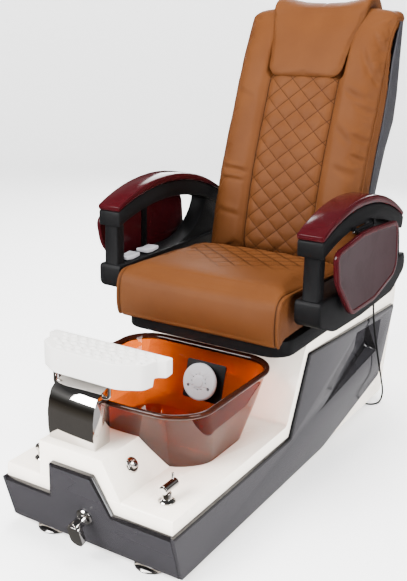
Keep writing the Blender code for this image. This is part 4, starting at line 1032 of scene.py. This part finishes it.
def lead_coil():
    """A flat spiral inwards on the floor, a climb, a spiral outwards on top of it, then down to the plug."""
    inward = np.linspace(0, 3.0 * 2 * np.pi, 180)
    r_in = 0.0535 - 0.00725 * inward / (2 * np.pi)
    outward = np.linspace(0, 2.95 * 2 * np.pi, 180)
    r_out = r_in[-1] + 0.00725 * np.clip(outward / (2 * np.pi) - 0.25, 0, None)
    angle = -np.pi / 2 - np.concatenate([inward, inward[-1] + outward[1:]])
    radius = np.concatenate([r_in, r_out[1:]])
    climb = step01(np.concatenate([inward * 0, outward[1:]]), 0.0, 1.6)
    z = FLOOR_Z + 0.0073 * climb
    coil = np.stack([COIL_AT[0] + radius * np.cos(angle), COIL_AT[1] + radius * np.sin(angle), z], axis=1)
    tail_x, tail_y = COIL_AT[0] - 0.0640, COIL_AT[1] + 0.0120
    last = [(tail_x + 0.006, tail_y - 0.034, FLOOR_Z + 0.0040), (tail_x, tail_y - 0.012, FLOOR_Z + 0.0008),
            (tail_x, tail_y + 0.001, FLOOR_Z + 0.0004)]
    return coil, last


def through(points, spacing):
    """A Catmull-Rom curve through the points, sampled evenly."""
    knots = np.asarray(points, float)
    knots = np.vstack([2 * knots[0] - knots[1], knots, 2 * knots[-1] - knots[-2]])
    t = np.linspace(0, 1, 24, endpoint=False)[None, :, None]
    a, b, c, d = (knots[k:len(knots) - 3 + k][:, None, :] for k in range(4))
    curve = 0.5 * (2 * b + (c - a) * t + (2 * a - 5 * b + 4 * c - d) * t ** 2 + (3 * b - a - 3 * c + d) * t ** 3)
    curve = np.vstack([curve.reshape(-1, 3), knots[-2:-1]])
    length = np.linalg.norm(np.diff(curve, axis=0), axis=1).sum()
    return resample(curve, int(length / spacing) + 2)


coil, last = lead_coil()
knots = lead_route() + coil[::6].tolist()[1:-3] + last
lead_line = through(knots, 0.004) + DATUM
lead = tube_object("mains_lead", lead_line, LEAD_R, black_rubber, "base")
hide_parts("power_cord", "cord_coil")

# %% [markdown]
# ## Floor and light
# A pale floor runs out and curves up into a wall all round, like a studio's cyclorama, and glows faintly so
# that no corner of it is dull. Gloss and chrome don't mirror it: they see the sky, which is a dim room, grey below
# and dark above, so that black stays black. Large soft lights do the rest.


# %% Floor and light
def make_cyclorama():
    """A profile turned about the upright axis: a flat run, a quarter circle, then an upright."""
    flat, radius, rise = 6.0, 2.0, 5.0
    angle = np.linspace(0, np.pi / 2, 17)
    run = np.concatenate([[0.0], flat + radius * np.sin(angle), [flat + radius]])
    height = np.concatenate([[0.0], radius * (1 - np.cos(angle)), [rise]])
    turn = np.linspace(0, 2 * np.pi, 97)[:-1]
    points = np.stack([run[:, None] * np.cos(turn), run[:, None] * np.sin(turn),
                       np.broadcast_to(height[:, None], (len(run), 96))], axis=-1)
    mesh = bpy.data.meshes.new("cyclorama")
    mesh.from_pydata(points.reshape(-1, 3).tolist(), [], grid_faces(len(run), 96))
    weld(mesh)
    mesh.flip_normals()
    mesh.shade_smooth()
    paper, _, _ = base_material("backdrop_paper", (0.90, 0.90, 0.90), 0.9, Emission_Strength=0.9,
                                Emission_Color=(1.0, 1.0, 1.0, 1.0))
    mesh.materials.append(paper)
    wall = add_object("cyclorama", mesh)
    wall.visible_glossy = False


def make_light(name, place, target, size, power, mirrored=True):
    lamp = bpy.data.lights.new(name, "AREA")
    lamp.shape = "RECTANGLE"
    lamp.size, lamp.size_y = size
    lamp.energy = power
    thing = add_object(name, lamp)
    thing.location = place
    thing.visible_glossy = mirrored
    thing.rotation_euler = (Vector(target) - Vector(place)).to_track_quat("-Z", "Y").to_euler()


POOL_TONE = (0.95, 0.93, 0.95)


def make_sky():
    """A dim room by height: grey floor, dark walls, a pale band above them, and a bright floor to the rear left."""
    sky = bpy.data.worlds.new("studio")
    bpy.context.scene.world = sky
    sky.use_nodes = True
    tree = sky.node_tree
    split = place(tree, "SeparateXYZ", i0=place(tree, "TexCoord").outputs["Generated"])
    band = place(tree, "ValToRGB")
    stops = band.color_ramp.elements
    stops[0].color = (0.16, 0.155, 0.15, 1)
    stops[1].color = (0.06, 0.06, 0.06, 1)
    for position, tone in ((0.36, (0.17, 0.16, 0.15)), (0.455, (0.09, 0.080, 0.065)), (0.52, (0.035, 0.030, 0.025)),
                           (0.60, (0.08, 0.08, 0.075)), (0.70, (0.30, 0.30, 0.30)), (0.82, (0.07, 0.07, 0.07))):
        stops.new(position).color = (*tone, 1)
    feed(tree, band, i0=maths(tree, "MULTIPLY_ADD", split.outputs[2], 0.5, 0.5))
    aside = maths(tree, "ADD", maths(tree, "MULTIPLY", split.outputs[0], 0.75),
                  maths(tree, "MULTIPLY", split.outputs[1], 0.66))
    pool = maths(tree, "MULTIPLY", ramp(tree, aside, 0.2, 0.8), ramp(tree, split.outputs[2], -0.25, 0.05, 1.0, 0.0))
    feed(tree, tree.nodes["Background"], i0=blend(tree, pool, band.outputs[0], POOL_TONE))


make_cyclorama()
make_sky()
make_light("key", (-1.4, -3.6, 3.0), (0, 0, 0.6), (2.4, 2.4), 640.0)
make_light("side", (3.8, -1.2, 2.2), (0, 0, 0.6), (1.8, 2.4), 240.0)
make_light("rear", (-1.5, 3.8, 2.6), (0, 0, 0.8), (2.4, 2.4), 240.0)
make_light("top", (0.0, 0.2, 4.4), (0, 0, 0.5), (3.0, 3.0), 520.0, mirrored=False)
print("floor and lights placed")
